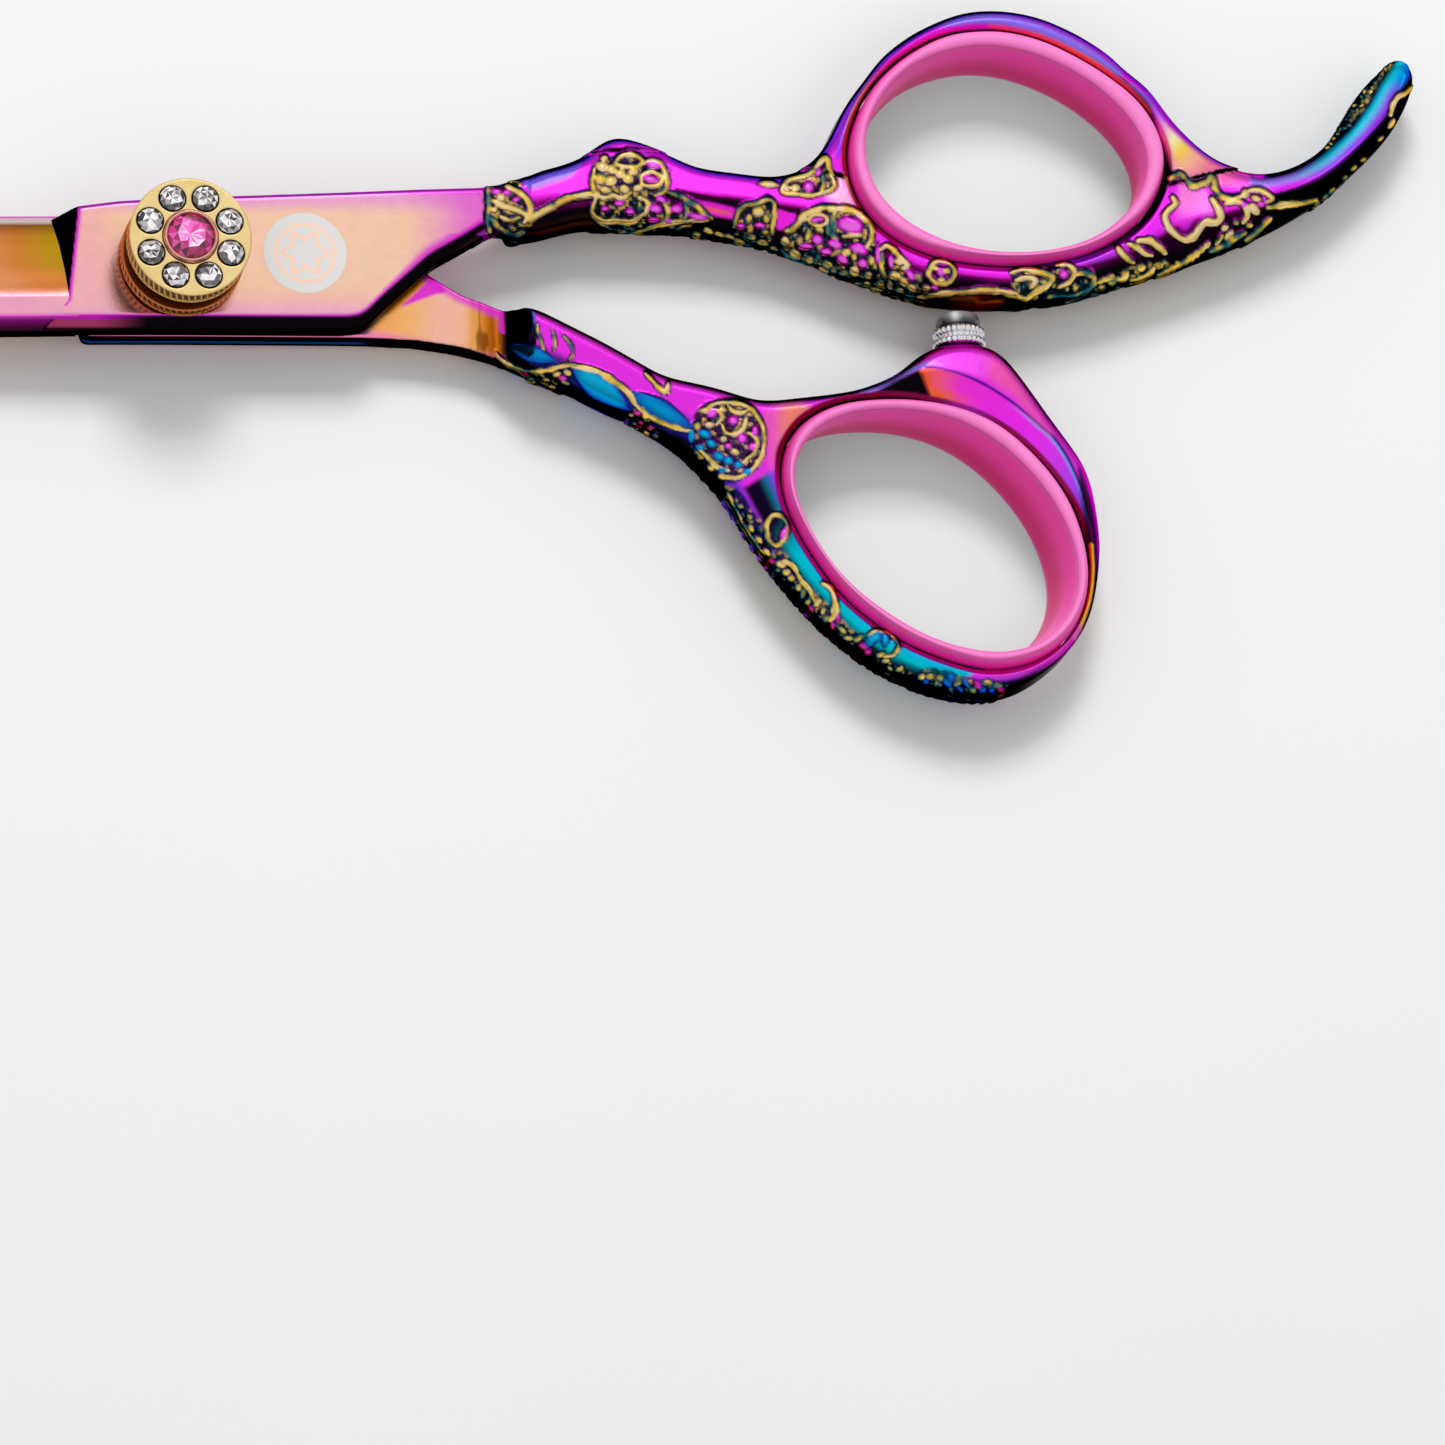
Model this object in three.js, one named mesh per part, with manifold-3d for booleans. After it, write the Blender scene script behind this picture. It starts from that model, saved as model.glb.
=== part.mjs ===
// Hair cutting shears: two crossed convex-edge blades on a pivot bolt with a jewelled
// tension knob, offset finger rings with soft inserts, a finger rest and a ring bumper.
// Millimetres, +Z up. The shears lie flat on z = 0 with the pivot axis on X = Y = 0,
// the blade tips towards -X and the finger ring on the +Y side.
// Pieces are drawn with z = 0 on the plane where the blades meet: the finger blade above
// it (side = 1), the thumb blade below it (side = -1). The group lifts them to rest height.
import * as THREE from 'three';
import { mergeVertices } from 'three/addons/utils/BufferGeometryUtils.js';
import Module from 'manifold-3d';

const wasm = await Module();
wasm.setup();

// ---- shared dimensions ----
const REST_HEIGHT = 3.7;       // height of the blade plane above the table
const CUT_REACH = 9;           // height at which cutting tools are clear of every piece
const PLAN_REACH = 120;        // the same in X and Y
const WASHER_RADII = [2.35, 4.0];   // plastic washer recessed between the blades
const WASHER_HALF = 0.42;
const RECESS_RADIUS = 4.4;     // recess for the tension washers in the finger blade's top
const SQUARE_HALF = 1.62;      // square of the bolt that keys the finger blade
const BUMPER_X = 66.8;         // the bumper stands on the thumb ring, pointing along +Y
const STUD_RADIUS = 1.2;

// ---- materials ----
const standard = (settings) => new THREE.MeshStandardMaterial(settings);
const MATERIALS = {
  upperTitanium: standard({ color: 0xd84fd0, roughness: 0.18, metalness: 1 }),
  lowerTitanium: standard({ color: 0xb24ae0, roughness: 0.18, metalness: 1 }),
  softPink: standard({ color: 0xf26fb4, roughness: 0.5, metalness: 0 }),
  steel: standard({ color: 0xb9bcc2, roughness: 0.3, metalness: 1 }),
  springSteel: standard({ color: 0x8f949c, roughness: 0.35, metalness: 1 }),
  nylon: standard({ color: 0xe8e6df, roughness: 0.55, metalness: 0 }),
  gold: standard({ color: 0xc9a54a, roughness: 0.3, metalness: 1 }),
  pinkGem: standard({ color: 0xf03fa6, roughness: 0.05, metalness: 0 }),
  clearStone: standard({ color: 0xf2f6fb, roughness: 0.05, metalness: 0 }),
  clearCap: standard({ color: 0xdfe4ea, roughness: 0.15, metalness: 0 }),
};

// ---- modelling helpers ----
// a closed geometry as a solid, its faces turned outwards
function solid(geometry) {
  for (const name of Object.keys(geometry.attributes)) {
    if (name !== 'position') geometry.deleteAttribute(name);
  }
  const merged = mergeVertices(geometry, 1e-4);
  const vertProperties = new Float32Array(merged.attributes.position.array);
  const triVerts = new Uint32Array(merged.index.array);
  const build = () => new wasm.Manifold(new wasm.Mesh({ numProp: 3, vertProperties, triVerts }));
  const body = build();
  if (body.volume() >= 0) return body;
  for (let i = 0; i < triVerts.length; i += 3) {
    [triVerts[i], triVerts[i + 1]] = [triVerts[i + 1], triVerts[i]];
  }
  return build();
}

function piece(name, body, material) {
  const { vertProperties, triVerts } = body.getMesh();
  const geometry = new THREE.BufferGeometry();
  geometry.setAttribute('position', new THREE.BufferAttribute(new Float32Array(vertProperties), 3));
  geometry.setIndex(new THREE.BufferAttribute(new Uint32Array(triVerts), 1));
  geometry.computeVertexNormals();
  const mesh = new THREE.Mesh(geometry, material);
  mesh.name = name;
  return mesh;
}

const vectors = (list) => list.map(([x, y]) => new THREE.Vector2(x, y));

function counterClockwise(list) {
  return THREE.ShapeUtils.area(vectors(list)) < 0 ? [...list].reverse() : list;
}

// a plan outline between two heights; round is the [plan width, height] of its eased edge,
// which stays inside the outline, and gap shrinks the solid from the outline all round
function slab(outline, bottom, top, { round = [0, 0], segments = 2, hole, gap = 0 } = {}) {
  const [width, height] = round;
  const shape = new THREE.Shape(vectors(counterClockwise(outline)));
  if (hole) shape.holes.push(new THREE.Path(vectors([...counterClockwise(hole)].reverse())));
  const geometry = new THREE.ExtrudeGeometry(shape, {
    depth: top - bottom - 2 * height,
    steps: 1,
    curveSegments: 1,
    bevelEnabled: width > 0,
    bevelSize: width,
    bevelThickness: height,
    bevelOffset: -width - gap,
    bevelSegments: segments,
  });
  return solid(geometry.translate(0, 0, bottom + height));
}

function box(x0, x1, y0, y1, z0, z1) {
  const geometry = new THREE.BoxGeometry(x1 - x0, y1 - y0, z1 - z0);
  return solid(geometry.translate((x0 + x1) / 2, (y0 + y1) / 2, (z0 + z1) / 2));
}

const squareBar = (half, bottom, top) => box(-half, half, -half, half, bottom, top);

function cylinder(radius, bottom, top, segments = 32, x = 0, y = 0) {
  const geometry = new THREE.CylinderGeometry(radius, radius, top - bottom, segments);
  return solid(geometry.rotateX(Math.PI / 2).translate(x, y, (bottom + top) / 2));
}

// a lathe shape from [radius, height] pairs, its axis along +Z
function lathe(profile, segments) {
  return new THREE.LatheGeometry(vectors(profile), segments).rotateX(Math.PI / 2);
}

const turned = (profile, segments = 32) => solid(lathe(profile, segments));

// closed section of a flat ring, as [radius, height] pairs
const ringProfile = ([inner, outer], bottom, top) => [
  [inner, bottom], [outer, bottom], [outer, top], [inner, top], [inner, bottom],
];
const ring = (radii, bottom, top) => turned(ringProfile(radii, bottom, top), 40);

// a prism cut through all of Y, drawn in the X-Z plane
function sideCut(outline) {
  const shape = new THREE.Shape(vectors(counterClockwise(outline)));
  const geometry = new THREE.ExtrudeGeometry(shape, { depth: 2 * PLAN_REACH, bevelEnabled: false });
  return solid(geometry.rotateX(Math.PI / 2).translate(0, PLAN_REACH, 0));
}

// ---- ground blades ----
const BLADE_GAP = 0.05;        // half the clearance between the two ride faces
const BLADE_THICKNESS = 2.8;   // at the pivot
const BLADE_ROOT_X = -8.8;     // the ground blades start inside the pivot plates
const BLADE_TIP_X = -66.5;
const BLADE_STEPS = 22;

// spine and edge along each blade: [x, spine y, edge y]
const FINGER_BLADE_LINES = [
  [-8.0, -5.92, 4.4], [-15, -6.05, 4.3], [-25, -5.95, 3.98], [-35, -5.4, 3.36],
  [-45, -4.5, 2.4], [-55, -3.3, 1.12], [-62, -2.2, -0.02], [-66.5, -1.42, -0.95],
];
const THUMB_BLADE_LINES = [
  [-8.0, 4.66, -5.15], [-15, 4.58, -5.2], [-25, 4.22, -5.05], [-35, 3.55, -4.55],
  [-45, 2.55, -3.75], [-55, 1.3, -2.65], [-62, 0.15, -1.75], [-66.5, -0.78, -1.2],
];
// blade thickness along its length: [x, factor]
const BLADE_TAPER = [[-8, 1.0], [-25, 0.97], [-45, 0.82], [-60, 0.6], [-66.5, 0.34]];
// blade section: [share of width from spine (0) to edge (1), share of thickness];
// the side facing the other blade is hollow ground
const BLADE_SECTION = [
  [0, 0.018], [0.1, 0.018], [0.35, 0.1], [0.65, 0.1], [0.93, 0.018], [1, 0.018],
  [1, 0.09], [0.86, 0.36], [0.6, 0.72], [0.3, 1], [0.1, 1], [0.015, 0.82],
];

// a table column at x, interpolated between rows of falling x and held beyond the ends
function valueAt(table, x, column) {
  for (let i = 0; i < table.length - 1; i++) {
    const [from, to] = [table[i], table[i + 1]];
    if (x <= from[0] && x >= to[0]) {
      const rise = to[column] - from[column];
      return from[column] + (rise * (x - from[0])) / (to[0] - from[0]);
    }
  }
  return table[x > table[0][0] ? 0 : table.length - 1][column];
}

// the section is extruded over a unit length, then bent to the spine and edge lines
function groundBlade(lines, side) {
  const geometry = new THREE.ExtrudeGeometry(new THREE.Shape(vectors(BLADE_SECTION)), {
    depth: 1,
    steps: BLADE_STEPS,
    bevelEnabled: false,
  });
  const position = geometry.attributes.position;
  for (let i = 0; i < position.count; i++) {
    const x = THREE.MathUtils.lerp(BLADE_ROOT_X, BLADE_TIP_X, position.getZ(i));
    const y = THREE.MathUtils.lerp(valueAt(lines, x, 1), valueAt(lines, x, 2), position.getX(i));
    const thickness = BLADE_THICKNESS * valueAt(BLADE_TAPER, x, 1);
    const height = Math.max(position.getY(i) * thickness, BLADE_GAP);
    position.setXYZ(i, x, y, side * height);
  }
  return solid(geometry);
}

// ---- pivot plates ----
const PLATE_CHAMFER = [0.8, 0.5];   // plan width, height
const PLATE_OVERRUN = 4;            // drawn this far past the blade plane, then trimmed

// plan outlines [x, y] round the pivot, from the blade shoulder along the +Y side
const FINGER_PLATE = [
  [-8.38, 4.68], [-4.8, 5.18], [0, 5.48], [4.2, 5.68], [13.8, 6.11], [21.1, 6.48],
  [25.9, 6.66], [28, 7.0], [28, 3.4], [26.5, 2.86], [24.2, 1.42], [21.7, 0.02],
  [17.6, -3.62], [16.2, -5.0], [15.2, -5.6], [14, -5.78], [0, -5.8], [-9.95, -5.93],
  [-9.53, -3.04],
];
const THUMB_PLATE = [
  [-9.3, 4.66], [0, 4.95], [9, 5.0], [14, 4.9], [15.4, 4.55], [17.6, 2.9],
  [21.9, -0.5], [24.1, -1.9], [26.2, -2.85], [28, -3.6], [28, -7.7], [26, -7.05],
  [23.6, -6.46], [20.2, -5.96], [15.3, -5.76], [0, -5.76], [-7.84, -5.82], [-8.7, -1.8],
];

// the flat zone round the pivot, chamfered on its outer face only
function pivotPlate(outline, side) {
  const between = (near, far) => (side > 0 ? [near, far] : [-far, -near]);
  const reach = [-PLAN_REACH, PLAN_REACH];
  return slab(outline, ...between(-PLATE_OVERRUN, BLADE_THICKNESS), {
    round: PLATE_CHAMFER,
    segments: 1,
  }).intersect(box(...reach, ...reach, ...between(BLADE_GAP, CUT_REACH)));
}

// ---- handles ----
const HANDLE_HALF = 2.8;            // half thickness of the handles and rings
const HANDLE_ROUND = [0.8, 1.5];    // rounded handle edge: plan width, height
const RAMP_X = [27.7, 29.8];        // where a handle steps from blade to full thickness
const RAMP_CUT_X = 24;              // the step is cut from here, short of the handle's end

// plan outline [x, y]: upper side out to the tip of the finger rest, back along the lower side
const FINGER_HANDLE = [
  [25.2, 6.66], [26.4, 6.86], [27.6, 7.22], [29.6, 7.86], [32.61, 8.95], [33.74, 9.35],
  [34.83, 9.85], [36.84, 11.12], [37.57, 11.38], [37.95, 11.43], [38.73, 11.37], [39.88, 11.06],
  [41.75, 10.35], [44.29, 9.2], [45.44, 8.89], [49.4, 8.37], [50.59, 8.28], [51.78, 8.35],
  [52.94, 8.64], [53.67, 8.95], [54.34, 9.37], [54.93, 9.89], [55.46, 10.48], [56.15, 11.46],
  [57.68, 14.26], [58.34, 15.27], [60.8, 18.41], [61.93, 19.54], [63.52, 20.74], [65.25, 21.74],
  [67.45, 22.69], [68.59, 23.04], [69.38, 23.19], [70.57, 23.3], [71.76, 23.3], [72.96, 23.2],
  [74.14, 22.99], [75.29, 22.67], [76.04, 22.4], [77.5, 21.75], [78.56, 21.19], [79.91, 20.33],
  [80.87, 19.63], [82.61, 17.98], [84.1, 16.66], [84.85, 15.73], [85.95, 14.07], [86.67, 13.11],
  [87.73, 11.92], [88.9, 10.83], [89.88, 10.15], [90.59, 9.8], [91.72, 9.41], [92.89, 9.15],
  [93.68, 9.08], [94.47, 9.11], [95.26, 9.24], [96.02, 9.45], [96.77, 9.74], [97.84, 10.26],
  [99.17, 11.15], [100.05, 11.96], [100.83, 12.86], [101.51, 13.84], [102.54, 15.55],
  [103.5, 16.83], [104.31, 17.71], [105.46, 18.82], [106.37, 19.56], [106.69, 19.7],
  [107.03, 19.74], [107.35, 19.68], [107.64, 19.5], [107.88, 19.23], [108.05, 18.91],
  [108.18, 18.17], [108.15, 17.78], [107.99, 17.01], [107.57, 15.89], [106.6, 14.15],
  [105.43, 12.53], [103.77, 10.8], [101.4, 8.65], [99.84, 7.41], [97.85, 6.07], [95.78, 4.86],
  [93.65, 3.76], [90.73, 2.45], [88.13, 1.42], [85.86, 0.65], [82.77, -0.18], [79.32, -1.2],
  [77.78, -1.61], [75.82, -2.04], [73.06, -2.47], [69.87, -2.73], [67.48, -2.72], [66.28, -2.62],
  [65.1, -2.44], [62.38, -1.8], [57.42, -0.25], [52.21, 1.81], [50.32, 2.44], [47.2, 3.12],
  [44.43, 3.49], [37.24, 3.92], [35.25, 3.95], [34.06, 3.81], [31.75, 3.21], [30.18, 2.93],
  [28.99, 2.91], [27.85, 3.16], [27.1, 3.15], [26.3, 2.8], [25.3, 2.15],
];
// plan outline [x, y]: upper side over the bumper boss, round the ring, back along the lower side
const THUMB_HANDLE = [
  [25.2, -2.42], [26.2, -2.78], [27.2, -3.2], [29.54, -3.69], [30.67, -4.04], [35.29, -6.43],
  [39.77, -9.07], [40.85, -9.58], [42, -9.92], [45.11, -10.64], [47.79, -11.45], [48.97, -11.66],
  [50.56, -11.64], [54.53, -11.18], [56.11, -10.93], [57.67, -10.56], [59.17, -10.02],
  [60.26, -9.53], [61.27, -8.89], [63.18, -7.45], [63.88, -7.07], [65.01, -6.68], [66.19, -6.49],
  [67.38, -6.49], [68.55, -6.69], [69.28, -6.99], [69.62, -7.19], [70.22, -7.7], [70.75, -8.3],
  [71.44, -9.27], [75.76, -16.01], [76.34, -17.06], [76.64, -17.79], [76.97, -18.94],
  [77.18, -20.12], [77.34, -21.72], [77.41, -23.31], [77.36, -24.51], [77.19, -26.1],
  [76.64, -28.84], [76.29, -29.99], [75.81, -31.09], [75.21, -32.12], [74.49, -33.08],
  [73.66, -33.94], [72.44, -34.97], [71.12, -35.87], [70.05, -36.42], [69.31, -36.7],
  [68.15, -36.99], [66.96, -37.14], [65.77, -37.13], [64.58, -37], [63.01, -36.68],
  [61.86, -36.35], [60.73, -35.93], [58.58, -34.88], [56.88, -33.83], [55.93, -33.1],
  [54.39, -31.81], [52.69, -30.13], [50.89, -27.98], [49.25, -25.71], [48, -23.66],
  [46.28, -20.5], [45.63, -19.5], [44.63, -18.25], [43.57, -17.05], [42.7, -16.22],
  [41.78, -15.45], [38.87, -13.34], [37.82, -12.75], [36.39, -12.05], [30.9, -9.61],
  [29, -8.62], [27.2, -7.72], [25, -6.78],
];
// seat of the soft insert in the finger ring, [x, y]
const FINGER_SEAT = [
  [70.07, 21.22], [68.48, 21.1], [67.3, 20.89], [66.17, 20.53], [65.08, 20.03], [63.7, 19.23],
  [62.4, 18.31], [61.2, 17.25], [60.15, 16.06], [59.26, 14.74], [58.54, 13.32], [57.98, 11.82],
  [57.73, 10.66], [57.63, 9.47], [57.7, 8.28], [57.95, 7.12], [58.37, 6], [58.95, 4.96],
  [59.42, 4.32], [60.23, 3.45], [61.16, 2.7], [62.17, 2.06], [63.25, 1.55], [64.37, 1.14],
  [65.91, 0.73], [67.48, 0.47], [69.47, 0.29], [71.07, 0.26], [72.66, 0.33], [74.25, 0.51],
  [76.21, 0.89], [77.74, 1.32], [78.85, 1.77], [80.61, 2.72], [81.6, 3.38], [82.22, 3.88],
  [82.8, 4.42], [83.32, 5.02], [83.78, 5.67], [84.38, 6.71], [84.72, 7.43], [84.99, 8.17],
  [85.17, 8.94], [85.26, 9.73], [85.23, 10.52], [85.1, 11.3], [84.88, 12.06], [84.59, 12.8],
  [84.03, 13.86], [83.59, 14.52], [83.09, 15.14], [82.53, 15.71], [81.64, 16.5], [80.37, 17.48],
  [79.38, 18.15], [78.02, 18.98], [76.97, 19.55], [75.89, 20.07], [74.77, 20.5], [74.01, 20.73],
  [72.84, 21.01], [72.06, 21.14], [71.26, 21.21],
];
// opening the finger goes through, [x, y]
const FINGER_HOLE = [
  [69.98, 19.47], [68.79, 19.39], [67.61, 19.2], [66.07, 18.77], [64.96, 18.33], [63.9, 17.78],
  [62.92, 17.1], [62.03, 16.31], [61.23, 15.42], [60.52, 14.46], [59.92, 13.43], [59.46, 12.33],
  [59.17, 11.18], [59.07, 9.99], [59.15, 8.81], [59.43, 7.65], [59.73, 6.92], [60.11, 6.22],
  [60.81, 5.27], [61.65, 4.42], [62.59, 3.68], [63.61, 3.06], [64.68, 2.53], [66.17, 1.97],
  [67.33, 1.67], [68.5, 1.45], [70.09, 1.28], [71.68, 1.25], [73.28, 1.33], [74.46, 1.48],
  [76.02, 1.82], [77.16, 2.17], [78.26, 2.63], [78.96, 3.01], [79.63, 3.45], [80.87, 4.44],
  [81.43, 5], [81.94, 5.61], [82.39, 6.27], [82.78, 6.96], [83.08, 7.69], [83.29, 8.46],
  [83.38, 9.24], [83.38, 9.63], [83.35, 10.02], [83.19, 10.8], [82.77, 11.91], [82.4, 12.61],
  [81.96, 13.28], [81.48, 13.91], [80.67, 14.78], [79.16, 16.09], [77.52, 17.21], [76.47, 17.79],
  [75.39, 18.29], [74.27, 18.73], [73.51, 18.97], [72.35, 19.25], [71.56, 19.38],
];
// seat of the soft insert in the thumb ring, [x, y]
const THUMB_SEAT = [
  [58.94, -11.73], [57.34, -11.86], [56.16, -12.05], [55.01, -12.36], [53.9, -12.82],
  [52.87, -13.41], [51.95, -14.17], [51.44, -14.77], [50.83, -15.79], [50.55, -16.53],
  [50.28, -17.7], [50.2, -18.89], [50.3, -20.07], [50.56, -21.24], [50.95, -22.37],
  [51.59, -23.83], [52.34, -25.25], [53.17, -26.61], [54.08, -27.93], [54.83, -28.86],
  [55.94, -30.01], [57.14, -31.07], [58.41, -32.04], [59.76, -32.9], [61.18, -33.62],
  [63.03, -34.39], [64.54, -34.9], [65.71, -35.18], [66.89, -35.33], [68.09, -35.31],
  [68.88, -35.22], [69.66, -35.06], [70.8, -34.71], [71.89, -34.21], [72.56, -33.79],
  [73.19, -33.31], [74.04, -32.47], [74.53, -31.84], [74.96, -31.17], [75.47, -30.09],
  [75.72, -29.33], [75.98, -28.17], [76.11, -26.98], [76.11, -26.18], [76.05, -25.38],
  [75.88, -24.2], [75.62, -23.03], [75.27, -21.88], [74.83, -20.77], [74.29, -19.7],
  [73.66, -18.68], [72.96, -17.71], [72.2, -16.78], [71.38, -15.9], [69.91, -14.56],
  [68.94, -13.86], [68.25, -13.45], [67.54, -13.1], [66.43, -12.65], [65.28, -12.29],
  [64.11, -12.04], [62.93, -11.86], [61.33, -11.72], [60.14, -11.69],
];
// opening the thumb goes through, [x, y]
const THUMB_HOLE = [
  [59.22, -13.06], [58.03, -13.14], [56.84, -13.3], [55.69, -13.6], [54.58, -14.04],
  [53.55, -14.64], [52.94, -15.14], [52.16, -16.03], [51.76, -16.71], [51.35, -17.82],
  [51.2, -18.59], [51.17, -19.38], [51.25, -20.17], [51.52, -21.33], [51.91, -22.46],
  [52.56, -23.92], [53.33, -25.32], [54.21, -26.64], [54.95, -27.58], [55.77, -28.45],
  [56.65, -29.26], [57.9, -30.26], [59.53, -31.4], [60.91, -32.21], [61.98, -32.74],
  [63.09, -33.18], [64.62, -33.64], [65.79, -33.87], [66.98, -34.01], [68.17, -34.01],
  [69.35, -33.85], [70.48, -33.5], [71.2, -33.15], [71.86, -32.72], [72.47, -32.22],
  [73.03, -31.65], [73.53, -31.03], [73.95, -30.37], [74.3, -29.65], [74.55, -28.9],
  [74.72, -28.13], [74.8, -27.34], [74.8, -26.54], [74.73, -25.75], [74.51, -24.58],
  [74.29, -23.81], [73.88, -22.69], [73.56, -21.96], [73, -20.9], [71.9, -19.24],
  [71.16, -18.31], [70.35, -17.42], [69.49, -16.59], [68.58, -15.82], [67.6, -15.13],
  [66.91, -14.72], [65.84, -14.19], [65.1, -13.9], [64.35, -13.65], [63.19, -13.37],
  [62.01, -13.17], [61.21, -13.09],
];

// clears the handle from the other blade's side of the pivot zone, ending in a slope
function rampCut(side) {
  const [start, end] = RAMP_X;
  return sideCut([
    [RAMP_CUT_X, -side * CUT_REACH], [RAMP_CUT_X, side * BLADE_GAP], [start, side * BLADE_GAP],
    [end, -side * (HANDLE_HALF + 0.01)], [end, -side * CUT_REACH],
  ]);
}

function handle(outline, seat, side) {
  return slab(outline, -HANDLE_HALF, HANDLE_HALF, { round: HANDLE_ROUND })
    .subtract(rampCut(side))
    .subtract(slab(seat, -CUT_REACH, CUT_REACH));
}

// ---- whole blades ----
const SQUARE_HOLE_CLEARANCE = 0.04;
const RECESS_FLOOR = 2.2;
const THUMB_BORE_RADIUS = 2.5;      // runs on the bolt shoulder
const FINGER_WASHER_CLEARANCE = { radius: 0.06, depth: 0.05 };
const THUMB_WASHER_CLEARANCE = 0.3; // in radius and in depth
const STUD_BORE = { clearance: 0.06, depth: 3, middleY: -7.5 };

function fingerBlade() {
  const { radius, depth } = FINGER_WASHER_CLEARANCE;
  return pivotPlate(FINGER_PLATE, 1)
    .add(groundBlade(FINGER_BLADE_LINES, 1))
    .add(handle(FINGER_HANDLE, FINGER_SEAT, 1))
    .subtract(squareBar(SQUARE_HALF + SQUARE_HOLE_CLEARANCE, -CUT_REACH, CUT_REACH))
    .subtract(cylinder(RECESS_RADIUS, RECESS_FLOOR, CUT_REACH, 40))
    .subtract(cylinder(WASHER_RADII[1] + radius, -CUT_REACH, WASHER_HALF + depth, 40));
}

function thumbBlade() {
  const studBoreRadius = STUD_RADIUS + STUD_BORE.clearance;
  const studBore = new THREE.CylinderGeometry(studBoreRadius, studBoreRadius, STUD_BORE.depth, 20);
  const recessRadius = WASHER_RADII[1] + THUMB_WASHER_CLEARANCE;
  const recessFloor = -WASHER_HALF - THUMB_WASHER_CLEARANCE;
  return pivotPlate(THUMB_PLATE, -1)
    .add(groundBlade(THUMB_BLADE_LINES, -1))
    .add(handle(THUMB_HANDLE, THUMB_SEAT, -1))
    .subtract(cylinder(THUMB_BORE_RADIUS, -CUT_REACH, CUT_REACH, 40))
    .subtract(cylinder(recessRadius, recessFloor, CUT_REACH, 40))
    .subtract(solid(studBore.translate(BUMPER_X, STUD_BORE.middleY, 0)));
}

// ---- soft inserts ----
const INSERT_HALF = 3.7;       // half height
const INSERT_ROUND = [0.35, 0.35];
const SEAT_GAP = 0.05;

function ringInsert(seat, hole) {
  return slab(seat, -INSERT_HALF, INSERT_HALF, { round: INSERT_ROUND, hole, gap: SEAT_GAP });
}

// ---- pivot bolt and washers ----
const SHOULDER_RADIUS = 2.2;
const THREAD_RADIUS = 1.25;
const HEAD_RADIUS = 4.0;
const HEAD_Z = [-3.7, -2.95];
const HEAD_CHAMFER = 0.25;
const HEAD_HOLE = { radius: 0.5, depth: 0.4, x: 2.5 };   // two blind holes under the head
const SQUARE_BOTTOM = -0.2;
const BOLT_END = 5.4;
const BOLT_END_CHAMFER = 0.2;
const CLICK_Z = [2.24, 2.56];
const CLICK_CLEARANCE = { recess: 0.25, square: 0.05 };
const SPRING_RADII = [2.0, 3.8];
const SPRING_MIDDLE_Z = 2.8;
const SPRING_HALF = 0.09;      // half thickness
const SPRING_WAVE = { height: 0.08, count: 3 };
const THRUST_RADII = [THREAD_RADIUS + 0.3, 3.9];
const THRUST_Z = [3.02, 3.3];

function pivotBolt() {
  const [bottom, top] = HEAD_Z;
  let bolt = turned([
    [0, bottom], [HEAD_RADIUS - HEAD_CHAMFER, bottom], [HEAD_RADIUS, bottom + HEAD_CHAMFER],
    [HEAD_RADIUS, top], [SHOULDER_RADIUS, top], [SHOULDER_RADIUS, 0], [THREAD_RADIUS, 0],
    [THREAD_RADIUS, BOLT_END - BOLT_END_CHAMFER], [THREAD_RADIUS - BOLT_END_CHAMFER, BOLT_END],
    [0, BOLT_END],
  ]).add(squareBar(SQUARE_HALF, SQUARE_BOTTOM, CLICK_Z[1]));
  const { radius, depth, x } = HEAD_HOLE;
  for (const side of [-1, 1]) {
    bolt = bolt.subtract(cylinder(radius, -CUT_REACH, bottom + depth, 16, side * x));
  }
  return bolt;
}

function clickWasher() {
  const { recess, square } = CLICK_CLEARANCE;
  return cylinder(RECESS_RADIUS - recess, ...CLICK_Z, 40)
    .subtract(squareBar(SQUARE_HALF + square, -CUT_REACH, CUT_REACH));
}

// a thin ring whose height rolls three times round
function springWasher() {
  const geometry = lathe(ringProfile(SPRING_RADII, -SPRING_HALF, SPRING_HALF), 48);
  const position = geometry.attributes.position;
  for (let i = 0; i < position.count; i++) {
    const angle = Math.atan2(position.getY(i), position.getX(i));
    const roll = SPRING_WAVE.height * Math.cos(SPRING_WAVE.count * angle);
    position.setZ(i, position.getZ(i) + SPRING_MIDDLE_Z + roll);
  }
  return solid(geometry);
}

// ---- tension knob ----
const KNURL_TEETH = 44;
const KNURL_DEPTH = 0.22;
const DIAL_RADIUS = 5.2;
const DIAL_Z = [3.36, 4.75];
const DIAL_CHAMFER = 0.2;
const DIAL_BORE_RADIUS = THREAD_RADIUS + 0.25;
const NECK_RADIUS = 3.6;
const NECK_TOP = 6.65;
const SOCKET = { radius: 2.72, floor: 6.1 };   // takes the cap's spigot
const SPIGOT = { radius: 2.6, bottom: 6.2 };
const CAP_RADIUS = 5.15;
const CAP_Z = [6.7, 8.7];
const CAP_CHAMFER = 0.25;
const JOIN_OVERLAP = 0.3;      // neck and spigot run this far into the dial and cap
const BEZEL_RADII = [1.92, 2.28];
const BEZEL_POCKET = { clearance: 0.05, depth: 0.5 };
const GEM_RADIUS = 1.82;
const STONE_RADIUS = 1.04;
const STONE_RING_RADIUS = 3.6;
const STONE_COUNT = 8;
const STONE_POCKET = { clearance: 0.06, depth: 0.95 };
const CAP_TOP = CAP_Z[1];

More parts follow.
